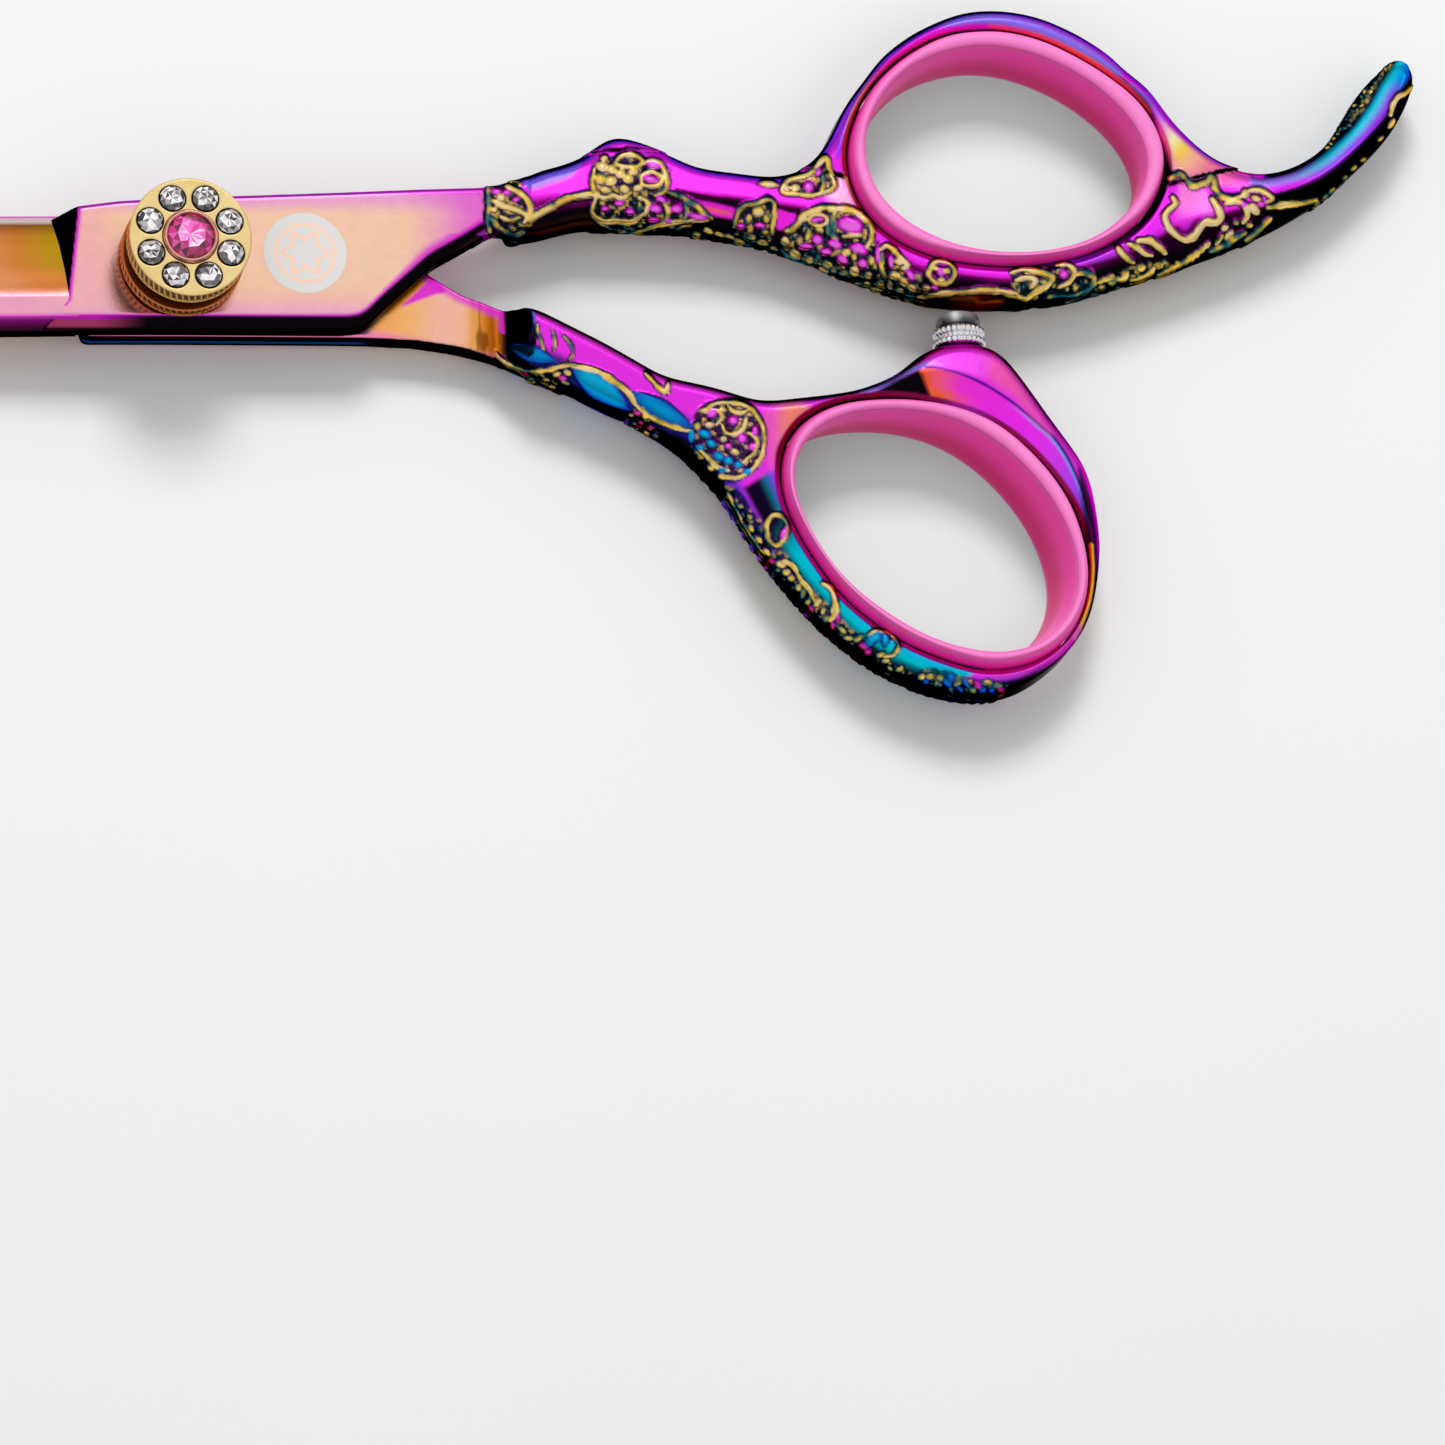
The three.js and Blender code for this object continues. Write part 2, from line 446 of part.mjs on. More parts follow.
function knurledDisc(radius, [bottom, top], chamfer) {
  const outline = [];
  for (let i = 0; i < KNURL_TEETH * 2; i++) {
    const angle = (i / (KNURL_TEETH * 2)) * Math.PI * 2;
    const reach = i % 2 ? radius : radius - KNURL_DEPTH;
    outline.push([reach * Math.cos(angle), reach * Math.sin(angle)]);
  }
  return slab(outline, bottom, top, { round: [chamfer, chamfer], segments: 1 });
}

function tensionDial() {
  return knurledDisc(DIAL_RADIUS, DIAL_Z, DIAL_CHAMFER)
    .add(cylinder(NECK_RADIUS, DIAL_Z[1] - JOIN_OVERLAP, NECK_TOP, 40))
    .subtract(cylinder(DIAL_BORE_RADIUS, -CUT_REACH, CUT_REACH))
    .subtract(cylinder(SOCKET.radius, SOCKET.floor, CUT_REACH));
}

// angle and centre of a stone in the circle round the gem
function stonePlace(index) {
  const angle = Math.PI / 8 + (index * Math.PI * 2) / STONE_COUNT;
  const x = STONE_RING_RADIUS * Math.cos(angle);
  const y = STONE_RING_RADIUS * Math.sin(angle);
  return { angle, x, y };
}

function knobCap() {
  const bezelPocketRadius = BEZEL_RADII[1] + BEZEL_POCKET.clearance;
  const gemPocket = [[0, 7.2], [1.5, 7.9], [1.5, CUT_REACH], [0, CUT_REACH]];
  let cap = knurledDisc(CAP_RADIUS, CAP_Z, CAP_CHAMFER)
    .add(cylinder(SPIGOT.radius, SPIGOT.bottom, CAP_Z[0] + JOIN_OVERLAP))
    .subtract(cylinder(bezelPocketRadius, CAP_TOP - BEZEL_POCKET.depth, CUT_REACH))
    .subtract(turned(gemPocket, 24));
  const radius = STONE_RADIUS + STONE_POCKET.clearance;
  for (let i = 0; i < STONE_COUNT; i++) {
    const { x, y } = stonePlace(i);
    cap = cap.subtract(cylinder(radius, CAP_TOP - STONE_POCKET.depth, CUT_REACH, 16, x, y));
  }
  return cap;
}

function gemBezel() {
  const [inner, outer] = BEZEL_RADII;
  return turned([
    [inner, CAP_TOP - 0.45], [outer, CAP_TOP - 0.45], [outer, CAP_TOP + 0.35],
    [outer - 0.15, CAP_TOP + 0.5], [inner, CAP_TOP + 0.42], [inner, CAP_TOP - 0.45],
  ]);
}

function centreGem() {
  return turned([
    [0, CAP_TOP - 1.2], [1.25, CAP_TOP - 0.52], [GEM_RADIUS, CAP_TOP - 0.1],
    [GEM_RADIUS, CAP_TOP + 0.3], [1.45, CAP_TOP + 0.72], [1.0, CAP_TOP + 0.96],
    [0, CAP_TOP + 0.96],
  ], 16);
}

function clearStone(index) {
  const { angle, x, y } = stonePlace(index);
  const profile = [[0, -0.85], [STONE_RADIUS, -0.1], [STONE_RADIUS, 0.06], [0.62, 0.42], [0, 0.42]];
  return solid(lathe(profile, 8).rotateZ(angle + Math.PI / 8).translate(x, y, CAP_TOP));
}

// ---- bumper between the rings ----
const SEAT_Y = -6.42;
const COLLAR_TOP_Y = SEAT_Y + 1.8;
const BUMPER_TOP_Y = -3.3;
const SLEEVE_RADIUS = 2.3;
const SLEEVE_BORE_RADIUS = 1.05;
const DOME_RADIUS = 1.85;
const DOME_BOTTOM_Y = COLLAR_TOP_Y + 0.04;
const DOME_WALL_TOP_Y = COLLAR_TOP_Y + 0.26;
const DOME_STEPS = 6;

// a turned piece from [radius, y] pairs, its axis along +Y
function onBumperAxis(profile, segments = 28) {
  return solid(new THREE.LatheGeometry(vectors(profile), segments).translate(BUMPER_X, 0, 0));
}

function bumperStud() {
  return onBumperAxis([
    [0, -8.8], [0.95, -8.8], [STUD_RADIUS, -8.55], [STUD_RADIUS, SEAT_Y - 0.02],
    [1.0, SEAT_Y - 0.02], [1.0, COLLAR_TOP_Y - 0.15], [0, COLLAR_TOP_Y - 0.15],
  ], 20);
}

function bumperSleeve() {
  return onBumperAxis([
    [SLEEVE_BORE_RADIUS, SEAT_Y], [SLEEVE_RADIUS - 0.15, SEAT_Y],
    [SLEEVE_RADIUS, SEAT_Y + 0.25], [SLEEVE_RADIUS, SEAT_Y + 0.65],
    [SLEEVE_RADIUS - 0.3, SEAT_Y + 0.9], [SLEEVE_RADIUS - 0.05, SEAT_Y + 1.12],
    [SLEEVE_RADIUS - 0.05, SEAT_Y + 1.5], [SLEEVE_RADIUS - 0.35, COLLAR_TOP_Y],
    [SLEEVE_BORE_RADIUS, COLLAR_TOP_Y], [SLEEVE_BORE_RADIUS, SEAT_Y],
  ]);
}

// a short straight wall, then the round top
function bumperDome() {
  const profile = [[0, DOME_BOTTOM_Y], [DOME_RADIUS, DOME_BOTTOM_Y]];
  const rise = BUMPER_TOP_Y - DOME_WALL_TOP_Y;
  for (let i = 0; i < DOME_STEPS; i++) {
    const angle = (i / DOME_STEPS) * (Math.PI / 2);
    profile.push([DOME_RADIUS * Math.cos(angle), DOME_WALL_TOP_Y + rise * Math.sin(angle)]);
  }
  profile.push([0, BUMPER_TOP_Y]);
  return onBumperAxis(profile);
}

// ---- assembly ----
const shears = new THREE.Group();
const lying = new THREE.Group();
lying.position.z = REST_HEIGHT;
shears.add(lying);

const add = (name, body, material) => lying.add(piece(name, body, MATERIALS[material]));
add('finger_blade', fingerBlade(), 'upperTitanium');
add('thumb_blade', thumbBlade(), 'lowerTitanium');
add('finger_ring_insert', ringInsert(FINGER_SEAT, FINGER_HOLE), 'softPink');
add('thumb_ring_insert', ringInsert(THUMB_SEAT, THUMB_HOLE), 'softPink');
add('pivot_bolt', pivotBolt(), 'steel');
add('blade_washer', ring(WASHER_RADII, -WASHER_HALF, WASHER_HALF), 'nylon');
add('click_washer', clickWasher(), 'springSteel');
add('spring_washer', springWasher(), 'springSteel');
add('thrust_washer', ring(THRUST_RADII, ...THRUST_Z), 'steel');
add('tension_dial', tensionDial(), 'gold');
add('knob_cap', knobCap(), 'gold');
add('gem_bezel', gemBezel(), 'gold');
add('centre_gem', centreGem(), 'pinkGem');
for (let i = 0; i < STONE_COUNT; i++) add(`clear_stone_${i + 1}`, clearStone(i), 'clearStone');
add('bumper_stud', bumperStud(), 'steel');
add('bumper_sleeve', bumperSleeve(), 'steel');
add('bumper_dome', bumperDome(), 'clearCap');

export default shears;
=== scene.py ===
import math
import bpy
import bmesh
import numpy as np
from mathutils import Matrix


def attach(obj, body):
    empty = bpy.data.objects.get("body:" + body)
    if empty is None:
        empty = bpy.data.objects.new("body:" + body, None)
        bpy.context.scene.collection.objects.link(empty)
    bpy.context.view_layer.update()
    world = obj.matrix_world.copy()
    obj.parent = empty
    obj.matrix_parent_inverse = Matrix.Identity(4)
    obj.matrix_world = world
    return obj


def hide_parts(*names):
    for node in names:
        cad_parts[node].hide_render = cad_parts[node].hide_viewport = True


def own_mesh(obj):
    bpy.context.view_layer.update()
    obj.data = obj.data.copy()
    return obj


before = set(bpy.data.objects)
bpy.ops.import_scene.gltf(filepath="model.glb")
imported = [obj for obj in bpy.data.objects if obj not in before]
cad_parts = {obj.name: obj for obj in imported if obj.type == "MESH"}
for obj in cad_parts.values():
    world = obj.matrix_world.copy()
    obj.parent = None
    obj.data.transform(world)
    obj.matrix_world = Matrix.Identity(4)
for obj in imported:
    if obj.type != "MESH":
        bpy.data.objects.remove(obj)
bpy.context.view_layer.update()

import openvdb as vdb
from mathutils import Matrix, Vector

LIFT = 3.7                      # mm from the resting plane to the plane where the blades meet
VOXEL = 0.145
F32 = np.float32

# ------------------------------------------------------------------ camera model
# The picture plane the ornament and the camera share: 1445 square, 12 units per mm at the pivot.
DIST = 900.0
CAM_V = np.array([-0.20511513, -0.27257849, 0.94001529])
CAM_R = np.array([0.97873785, -0.05712456, 0.197])
CAM_U = np.array([0.0, 0.96043623, 0.2785])
AIM = np.array([44.40407647, -39.33204412, 0.0])


def project(p):
    """picture coordinates of points in mm (heights from the blade plane)"""
    q = p - AIM
    w = 12.0 * DIST / (DIST - q @ CAM_V)
    return 722.5 + w * (q @ CAM_R), 722.5 - w * (q @ CAM_U)


def unproject(u, v, z):
    """point at height z seen at picture coordinates (u, v)"""
    u, v, z = np.broadcast_arrays(np.asarray(u, float), np.asarray(v, float), np.asarray(z, float))
    d = ((u - 722.5) / (12.0 * DIST))[..., None] * CAM_R + ((722.5 - v) / (12.0 * DIST))[..., None] * CAM_U - CAM_V
    eye = AIM + CAM_V * DIST
    t = (z - eye[2]) / d[..., 2]
    return eye + t[..., None] * d


# ------------------------------------------------------------------ small maths
def smooth(a, b, x):
    t = np.clip((x - a) / (b - a), 0, 1)
    return t * t * (3 - 2 * t)


def mix(a, b, t):
    t = np.asarray(t)[..., None]
    return a * (1 - t) + b * t


def lin(r, g, b):
    c = np.array([r, g, b], float) / 255.0
    return np.where(c <= 0.04045, c / 12.92, ((c + 0.055) / 1.055) ** 2.4)


def ramp(x, stops):
    xs = np.array([s[0] for s in stops], float)
    cs = np.array([s[1] for s in stops], float)
    return np.stack([np.interp(x, xs, cs[:, k]) for k in range(3)], -1)


def catmull(points, closed=False, n=8):
    p = np.asarray(points, float)
    m = len(p)
    out = []
    for i in range(m if closed else m - 1):
        if closed:
            a, b, c, d = p[(i - 1) % m], p[i], p[(i + 1) % m], p[(i + 2) % m]
        else:
            a, b, c, d = p[max(i - 1, 0)], p[i], p[i + 1], p[min(i + 2, m - 1)]
        for t in np.arange(n) / n:
            out.append(0.5 * (2 * b + (c - a) * t + (2 * a - 5 * b + 4 * c - d) * t * t + (3 * b - a - 3 * c + d) * t ** 3))
    if not closed:
        out.append(p[-1])
    return np.array(out)


def resample(points, step, closed):
    p = np.asarray(points, float)
    if closed:
        p = np.vstack([p, p[:1]])
    d = np.r_[0, np.cumsum(np.hypot(*np.diff(p, axis=0).T))]
    n = max(2, int(round(d[-1] / step)))
    s = np.linspace(0, d[-1], n + 1)
    q = np.stack([np.interp(s, d, p[:, 0]), np.interp(s, d, p[:, 1])], -1)
    return q[:-1] if closed else q


def relax(p, closed, times):
    for _ in range(times):
        if closed:
            p = (np.roll(p, 1, 0) + 2 * p + np.roll(p, -1, 0)) / 4
        else:
            q = p.copy()
            q[1:-1] = (p[:-2] + 2 * p[1:-1] + p[2:]) / 4
            p = q
    return p


def polyline_field(x, y, poly, closed):
    """distance to a polyline; sign negative inside (closed) or to the right of its direction (open); and the share of length"""
    poly = np.asarray(poly, F32)
    a = poly
    b = np.roll(poly, -1, 0) if closed else poly[1:]
    if not closed:
        a = poly[:-1]
    lens = np.hypot(*(b - a).T)
    cum = np.r_[0, np.cumsum(lens)]
    best = np.full(x.shape, 1e9, F32)
    side = np.zeros(x.shape, F32)
    share = np.zeros(x.shape, F32)
    inside = np.zeros(x.shape, bool)
    for i in range(len(a)):
        ax, ay = a[i]
        bx, by = b[i]
        dx, dy = bx - ax, by - ay
        l2 = dx * dx + dy * dy
        if l2 < 1e-12:
            continue
        t = np.clip(((x - ax) * dx + (y - ay) * dy) / l2, 0, 1)
        ex, ey = x - (ax + t * dx), y - (ay + t * dy)
        d = ex * ex + ey * ey
        m = d < best
        best[m] = d[m]
        if closed:
            if ay != by:
                hit = (ay > y) != (by > y)
                xi = ax + (y - ay) * dx / (by - ay)
                inside ^= hit & (x < xi)
        else:
            cr = dx * (y - ay) - dy * (x - ax)
            side[m] = np.sign(cr)[m]
            share[m] = ((cum[i] + t * lens[i]) / cum[-1])[m]
    best = np.sqrt(best)
    if closed:
        return np.where(inside, -best, best), None
    return best * side, share


def smin(a, b, k):
    h = np.clip(0.5 + 0.5 * (b - a) / k, 0, 1)
    return b * (1 - h) + a * h - k * h * (1 - h)


def smax(a, b, k):
    return -smin(-a, -b, k)


def value_noise(u, v, scale, seed):
    """smooth repeating noise in 0..1 from a seeded lattice"""
    rng = np.random.RandomState(seed)
    lat = rng.rand(64, 64)
    x, y = u / scale, v / scale
    xi, yi = np.floor(x).astype(int), np.floor(y).astype(int)
    fx, fy = x - xi, y - yi
    fx, fy = fx * fx * (3 - 2 * fx), fy * fy * (3 - 2 * fy)
    g = lambda i, j: lat[(xi + i) % 64, (yi + j) % 64]
    return (g(0, 0) * (1 - fx) + g(1, 0) * fx) * (1 - fy) + (g(0, 1) * (1 - fx) + g(1, 1) * fx) * fy


# ------------------------------------------------------------------ outlines in picture coordinates
FINGER_SIL = [(470,186),(487,185),(507,181),(526,176),(546,171),(566,165),(586,156),(598,147),(609,141),(623,141),(646,148),(671,158),(692,168),(712,172),(736,175),(759,178),(778,178),(796,173),(810,165),(822,151),(832,131),(840,115),(849,101),(859,88),(868,76),(879,62),(892,50),(909,38),(924,30),(940,23),(957,17),(976,14),(1000,14),(1021,17),(1040,22),(1057,29),(1074,37),(1092,48),(1108,59),(1120,71),(1134,82),(1146,92),(1158,108),(1170,124),(1182,137),(1196,150),(1214,163),(1236,171),(1258,175),(1280,172),(1302,163),(1321,150),(1335,134),(1346,113),(1357,96),(1368,83),(1380,71),(1391,60),(1398,56),(1406,59),(1413,68),(1414,80),(1409,98),(1400,117),(1390,134),(1376,152),(1350,178),(1325,200),(1297,219),(1265,237),(1228,254),(1198,266),(1168,276),(1140,283),(1112,291),(1087,298),(1060,304),(1035,308),(1005,311),(975,312),(945,310),(915,304),(890,297),(862,288),(838,281),(816,272),(790,262),(765,253),(735,246),(706,241),(675,238),(640,236),(610,234),(590,233),(572,234),(550,240),(530,244),(510,245),(497,240),(486,240),(470,250)]
THUMB_SIL = [(486,304),(494,308),(508,309),(528,310),(540,314),(560,324),(580,334),(600,344),(618,354),(634,363),(651,373),(667,380),(690,385),(712,390),(732,396),(752,402),(772,403),(800,400),(828,397),(852,393),(874,386),(894,377),(908,366),(922,355),(938,348),(958,345),(976,346),(990,350),(1002,358),(1014,372),(1028,391),(1042,411),(1055,429),(1069,448),(1081,466),(1090,489),(1095,515),(1098,541),(1097,572),(1092,603),(1083,628),(1069,651),(1050,671),(1030,686),(1010,696),(986,701),(965,701),(940,697),(915,690),(890,679),(866,666),(844,650),(822,632),(800,610),(777,583),(762,563),(748,542),(736,522),(724,503),(710,487),(694,470),(676,455),(656,441),(635,427),(610,415),(585,404),(562,394),(540,385),(516,377),(492,369),(470,362)]
FINGER_RIM = [(984,29),(945,34),(905,55),(875,83),(856,118),(849,152),(855,186),(874,217),(905,241),(945,256),(985,262),(1020,263),(1058,259),(1098,248),(1138,223),(1158,195),(1167,165),(1162,136),(1143,104),(1113,78),(1080,57),(1045,40),(1012,31)]
FINGER_EYE = [(985,47),(945,53),(910,69),(885,94),(870,122),(866,150),(872,178),(888,203),(915,225),(950,241),(985,249),(1020,251),(1055,248),(1092,237),(1122,216),(1140,192),(1147,166),(1142,142),(1125,115),(1098,90),(1065,69),(1025,53)]
THUMB_RIM = [(880,397),(840,402),(808,417),(790,438),(783,465),(785,492),(795,519),(815,554),(848,596),(900,636),(960,661),(1000,667),(1040,658),(1068,638),(1085,610),(1091,575),(1086,540),(1071,500),(1043,461),(1003,425),(962,406),(920,398)]
THUMB_EYE = [(885,411),(850,415),(820,428),(802,448),(795,472),(797,492),(806,517),(826,552),(852,583),(886,610),(925,633),(962,646),(1000,651),(1032,645),(1056,628),(1072,604),(1077,576),(1072,545),(1056,509),(1030,474),(996,443),(960,423),(922,413)]


def silhouette_plan(px, edge_z=1.1):
    """plan outline of a rounded bar from its seen silhouette: the far edge is seen on its upper round, the near edge on its lower round"""
    c = catmull(px, False, 6)
    t = np.gradient(c, axis=0)
    t /= np.hypot(*t.T)[:, None]
    n = np.stack([t[:, 1], -t[:, 0]], -1)
    z = edge_z * np.clip((n @ np.array([0.5, -0.866])) / 0.35, -1, 1)
    return relax(resample(unproject(c[:, 0], c[:, 1], z)[:, :2], 0.4, False), False, 6)


def rim_plan(px, z):
    c = catmull(px, True, 8)
    return relax(resample(unproject(c[:, 0], c[:, 1], z)[:, :2], 0.4, True), True, 8)


fo = silhouette_plan(FINGER_SIL)
# keep the run order: upper side out, lower side back
up = fo[: len(fo) // 2]
dn = fo[len(fo) // 2:]
FINGER_PLAN = np.vstack([[[25.2, 6.66], [26.4, 6.86], [27.6, 7.22], [29.6, 7.86]], up[up[:, 0] > 31.2], dn[dn[:, 0] > 28.2], [[27.1, 3.15], [26.3, 2.8], [25.3, 2.15]]])
to = silhouette_plan(THUMB_SIL)
tk = np.argmax(to[:, 0])
tu, td = to[:tk], to[tk:]
THUMB_PLAN = np.vstack([[[25.2, -2.42], [26.2, -2.78], [27.2, -3.2]], tu[tu[:, 0] > 28.6], td[td[:, 0] > 30.9], [[29.0, -8.62], [27.2, -7.72], [25.0, -6.78]]])
FINGER_SEAT, FINGER_HOLE = rim_plan(FINGER_RIM, 3.0), rim_plan(FINGER_EYE, 3.3)
THUMB_SEAT, THUMB_HOLE = rim_plan(THUMB_RIM, 3.0), rim_plan(THUMB_EYE, 3.3)

FINGER_PLATE = [(-8.38,4.68),(-4.8,5.18),(0,5.48),(4.2,5.68),(13.8,6.11),(21.1,6.48),(25.9,6.66),(28,7.0),(28,3.4),(26.5,2.86),(24.2,1.42),(21.7,0.02),(17.6,-3.62),(16.2,-5.0),(15.2,-5.6),(14,-5.78),(0,-5.8),(-9.95,-5.93),(-9.53,-3.04)]
THUMB_PLATE = [(-9.3,4.66),(0,4.95),(9,5.0),(14,4.9),(15.4,4.55),(17.6,2.9),(21.9,-0.5),(24.1,-1.9),(26.2,-2.85),(28,-3.6),(28,-7.7),(26,-7.05),(23.6,-6.46),(20.2,-5.96),(15.3,-5.76),(0,-5.76),(-7.84,-5.82),(-8.7,-1.8)]
FINGER_LINE = np.array([(-8.0,-5.92,4.4),(-15,-6.05,4.3),(-25,-5.95,3.98),(-35,-5.4,3.36),(-45,-4.5,2.4),(-55,-3.3,1.12),(-62,-2.2,-0.02),(-66.5,-1.42,-0.95)])
THUMB_LINE = np.array([(-8.0,4.66,-5.15),(-15,4.58,-5.2),(-25,4.22,-5.05),(-35,3.55,-4.55),(-45,2.55,-3.75),(-55,1.3,-2.65),(-62,0.15,-1.75),(-66.5,-0.78,-1.2)])
TAPER = np.array([(-8,1.0),(-25,0.97),(-45,0.82),(-60,0.6),(-66.5,0.34)])

# creases on the upper faces, in picture coordinates at the height of the face
FINGER_RIDGE = [(500,199),(526,198),(590,190),(650,186),(700,192),(770,200),(840,214),(880,243),(930,266),(1000,276),(1060,269),(1120,249),(1180,222),(1240,206),(1272,196),(1290,190),(1310,181),(1330,169),(1350,153),(1370,134),(1385,118),(1393,106),(1402,88),(1408,74)]
THUMB_RIDGE = [(505,345),(530,349),(560,358),(600,367),(640,392),(690,420),(722,452),(750,488),(778,530),(830,592),(880,641),(940,674),(1000,686),(1050,670),(1080,640)]
THUMB_PEAK = [(850,399),(876,389),(900,380),(920,374),(940,371),(960,372),(980,378),(1000,390),(1020,405),(1050,440),(1075,475),(1085,510),(1091,545)]

# ------------------------------------------------------------------ ornament, drawn once in the picture plane
ORN_U0, ORN_V0, ORN_RES = 470.0, 40.0, 2.0
ORN_W, ORN_H = int(960 * ORN_RES), int(680 * ORN_RES)
relief = np.zeros((ORN_W, ORN_H))       # height in mm over the smooth face
gilt = np.zeros((ORN_W, ORN_H))         # share of the gold and teal rib finish
tint = np.zeros((ORN_W, ORN_H))         # share of the magenta cells
blue = np.zeros((ORN_W, ORN_H))         # share of the cyan cells
crevice_shade = np.zeros((ORN_W, ORN_H))          # painted shade in the gaps between the forms
bed = np.zeros((ORN_W, ORN_H))          # textured ground under a cluster
warm = np.zeros((ORN_W, ORN_H))         # how far a rib leans from teal to gold


def window(u0, v0, u1, v1):
    i0, i1 = int(max(0, (u0 - ORN_U0) * ORN_RES)), int(min(ORN_W, (u1 - ORN_U0) * ORN_RES + 1))
    j0, j1 = int(max(0, (v0 - ORN_V0) * ORN_RES)), int(min(ORN_H, (v1 - ORN_V0) * ORN_RES + 1))
    if i1 <= i0 or j1 <= j0:
        return None
    uu, vv = np.meshgrid(ORN_U0 + np.arange(i0, i1) / ORN_RES, ORN_V0 + np.arange(j0, j1) / ORN_RES, indexing="ij")
    return slice(i0, i1), slice(j0, j1), uu, vv


def put(sl, cover, height, what, lean=0.0):
    """lay one form over the ones before it"""
    a, b = sl
    relief[a, b] = relief[a, b] * (1 - cover) + np.maximum(relief[a, b], height) * cover
    for m, k in ((gilt, "g"), (tint, "t"), (blue, "b")):
        m[a, b] = m[a, b] * (1 - cover) + cover * (1.0 if what == k else 0.0)
    warm[a, b] = warm[a, b] * (1 - cover) + lean * cover
    crevice_shade[a, b] *= 1 - cover
    bed[a, b] *= 1 - cover


def ground(points, k=1.0):
    c = catmull(points, True, 5)
    w = window(c[:, 0].min() - 4, c[:, 1].min() - 4, c[:, 0].max() + 4, c[:, 1].max() + 4)
    a, b, u, v = w
    sd, _ = polyline_field(u.astype(F32), v.astype(F32), c, True)
    bed[a, b] = np.maximum(bed[a, b], k * smooth(1.5, -1.5, sd + 3.5 * (value_noise(u, v, 5.0, 5) - 0.5)))


def rib(points, width=3.0, lean=0.6, height=0.2, closed=False, bead=0.0, taper=0.35):
    """half round cord; lean 0 teal .. 1 gold"""
    c = catmull(points, closed, 6)
    w = window(c[:, 0].min() - 8, c[:, 1].min() - 8, c[:, 0].max() + 8, c[:, 1].max() + 8)
    if w is None:
        return
    a, b, u, v = w
    sd, s = polyline_field(u.astype(F32), v.astype(F32), c, closed)
    if closed:
        s = 0.5
    wob = 0.86 + 0.72 * value_noise(u, v, 6.5, 9)
    if bead:
        length = np.hypot(*np.diff(c, axis=0).T).sum()
        wob = wob * (0.72 + 0.36 * np.abs(np.sin(np.pi * np.asarray(s) * length / bead)))
    wd = width * wob * (1 - taper * np.abs(2 * np.asarray(s) - 1) ** 3)
    x = np.abs(sd) / wd
    h = height * np.sqrt(np.clip(1 - x * x, 0, 1)) * (0.85 + 0.3 * value_noise(u, v, 5.0, 19))
    # painted shadow along both sides of the cord
    shadow_rim = smooth(wd + 1.5, wd + 0.3, np.abs(sd))
    crevice_shade[a, b] = np.maximum(crevice_shade[a, b], shadow_rim * 0.95)
    put((a, b), smooth(1.08, 0.86, x), h, "g", lean)


def blob(cu, cv, la, lb, ang=0, kind="t", lean=0.8, height=0.2, lens=False):
    """one domed cell or nugget with a painted shadow in the gap round it"""
    la, lb = la * 1.14, lb * 1.14
    r = max(la, lb) + 5
    w = window(cu - r, cv - r, cu + r, cv + r)
    if w is None:
        return
    a, b, u, v = w
    ca, sa = math.cos(math.radians(ang)), math.sin(math.radians(ang))
    x, y = (u - cu) * ca + (v - cv) * sa, -(u - cu) * sa + (v - cv) * ca
    wob = 1 + 0.22 * (value_noise(u, v, 5.5, 29) - 0.5)
    if lens:
        k = np.maximum(np.abs(y) / (lb * np.clip(1 - (np.abs(x) / la) ** 1.6, 0.02, 1)), np.abs(x) / la)
    else:
        k = np.sqrt((x / la) ** 2 + (y / lb) ** 2) * wob
    sd = (k - 1) * min(la, lb)
    crevice_shade[a, b] = np.maximum(crevice_shade[a, b], smooth(1.6, 0.4, sd) * 0.95)
    h = height * np.sqrt(np.clip(1 - k * k, 0, 1))
    put((a, b), smooth(0.35, -0.45, sd), h, kind, lean)


def many(kind, rows, **kw):
    for r in rows:
        blob(r[0], r[1], r[2], r[3], r[4] if len(r) > 4 else 0, kind, r[5] if len(r) > 5 else 0.85, **kw)


def scatter(points, size, seed, mix_of=("g", "g", "t"), lean=(0.3, 1.0), height=0.17):
    """nuggets filling a closed curve"""
    ground(points, 0.9)
    c = catmull(points, True, 5)
    rng = np.random.RandomState(seed)
    lo, hi = c.min(0), c.max(0)
    row, v = 0, lo[1]
    while v < hi[1]:
        u = lo[0] + (row % 2) * size * 0.9
        while u < hi[0]:
            uu_, vv_ = u + size * 0.5 * (rng.rand() - 0.5), v + size * 0.5 * (rng.rand() - 0.5)
            sd, _ = polyline_field(np.array([uu_], F32), np.array([vv_], F32), c, True)
            if sd[0] < -size * 0.15:
                blob(uu_, vv_, size * (0.66 + 0.34 * rng.rand()), size * (0.42 + 0.24 * rng.rand()), 180 * rng.rand(), mix_of[rng.randint(len(mix_of))], lean[0] + (lean[1] - lean[0]) * rng.rand(), height)
            u += size * 1.9
        v += size * 1.45
        row += 1


# ---- finger handle: collar, cord and large flower
ground([(485, 189), (499, 184), (517, 181), (527, 195), (532, 212), (529, 229), (519, 240), (504, 243), (491, 240), (485, 226)])
many("t", [(496, 191, 5, 3), (507, 192, 4, 3), (516, 199, 3.5, 2.6)])
rib([(487, 187), (488.6, 206), (487, 217), (490, 232)], 2.4, 0.15)
rib([(493, 200), (504.4, 206), (515.8, 209), (527, 215)], 3.2, 0.7)
rib([(490, 217), (501.5, 229), (513, 237), (523, 232)], 3.0, 0.3)
rib([(501.5, 217), (510, 220), (518.7, 217)], 2.6, 0.85)
rib([(507, 186), (518.7, 191.6), (527, 200), (530, 212), (524.4, 222)], 3.0, 0.9)
many("g", [(501, 197, 4, 3, 20, 0.9), (512, 228, 4, 2.6, 20, 0.5), (497, 236, 4, 2.6, 10, 0.3), (494, 209, 3, 3, 0, 0.8)])
rib([(530, 218), (547.4, 209), (564.6, 199), (580, 195.6), (596, 194)], 3.7, 0.45, taper=0.1)
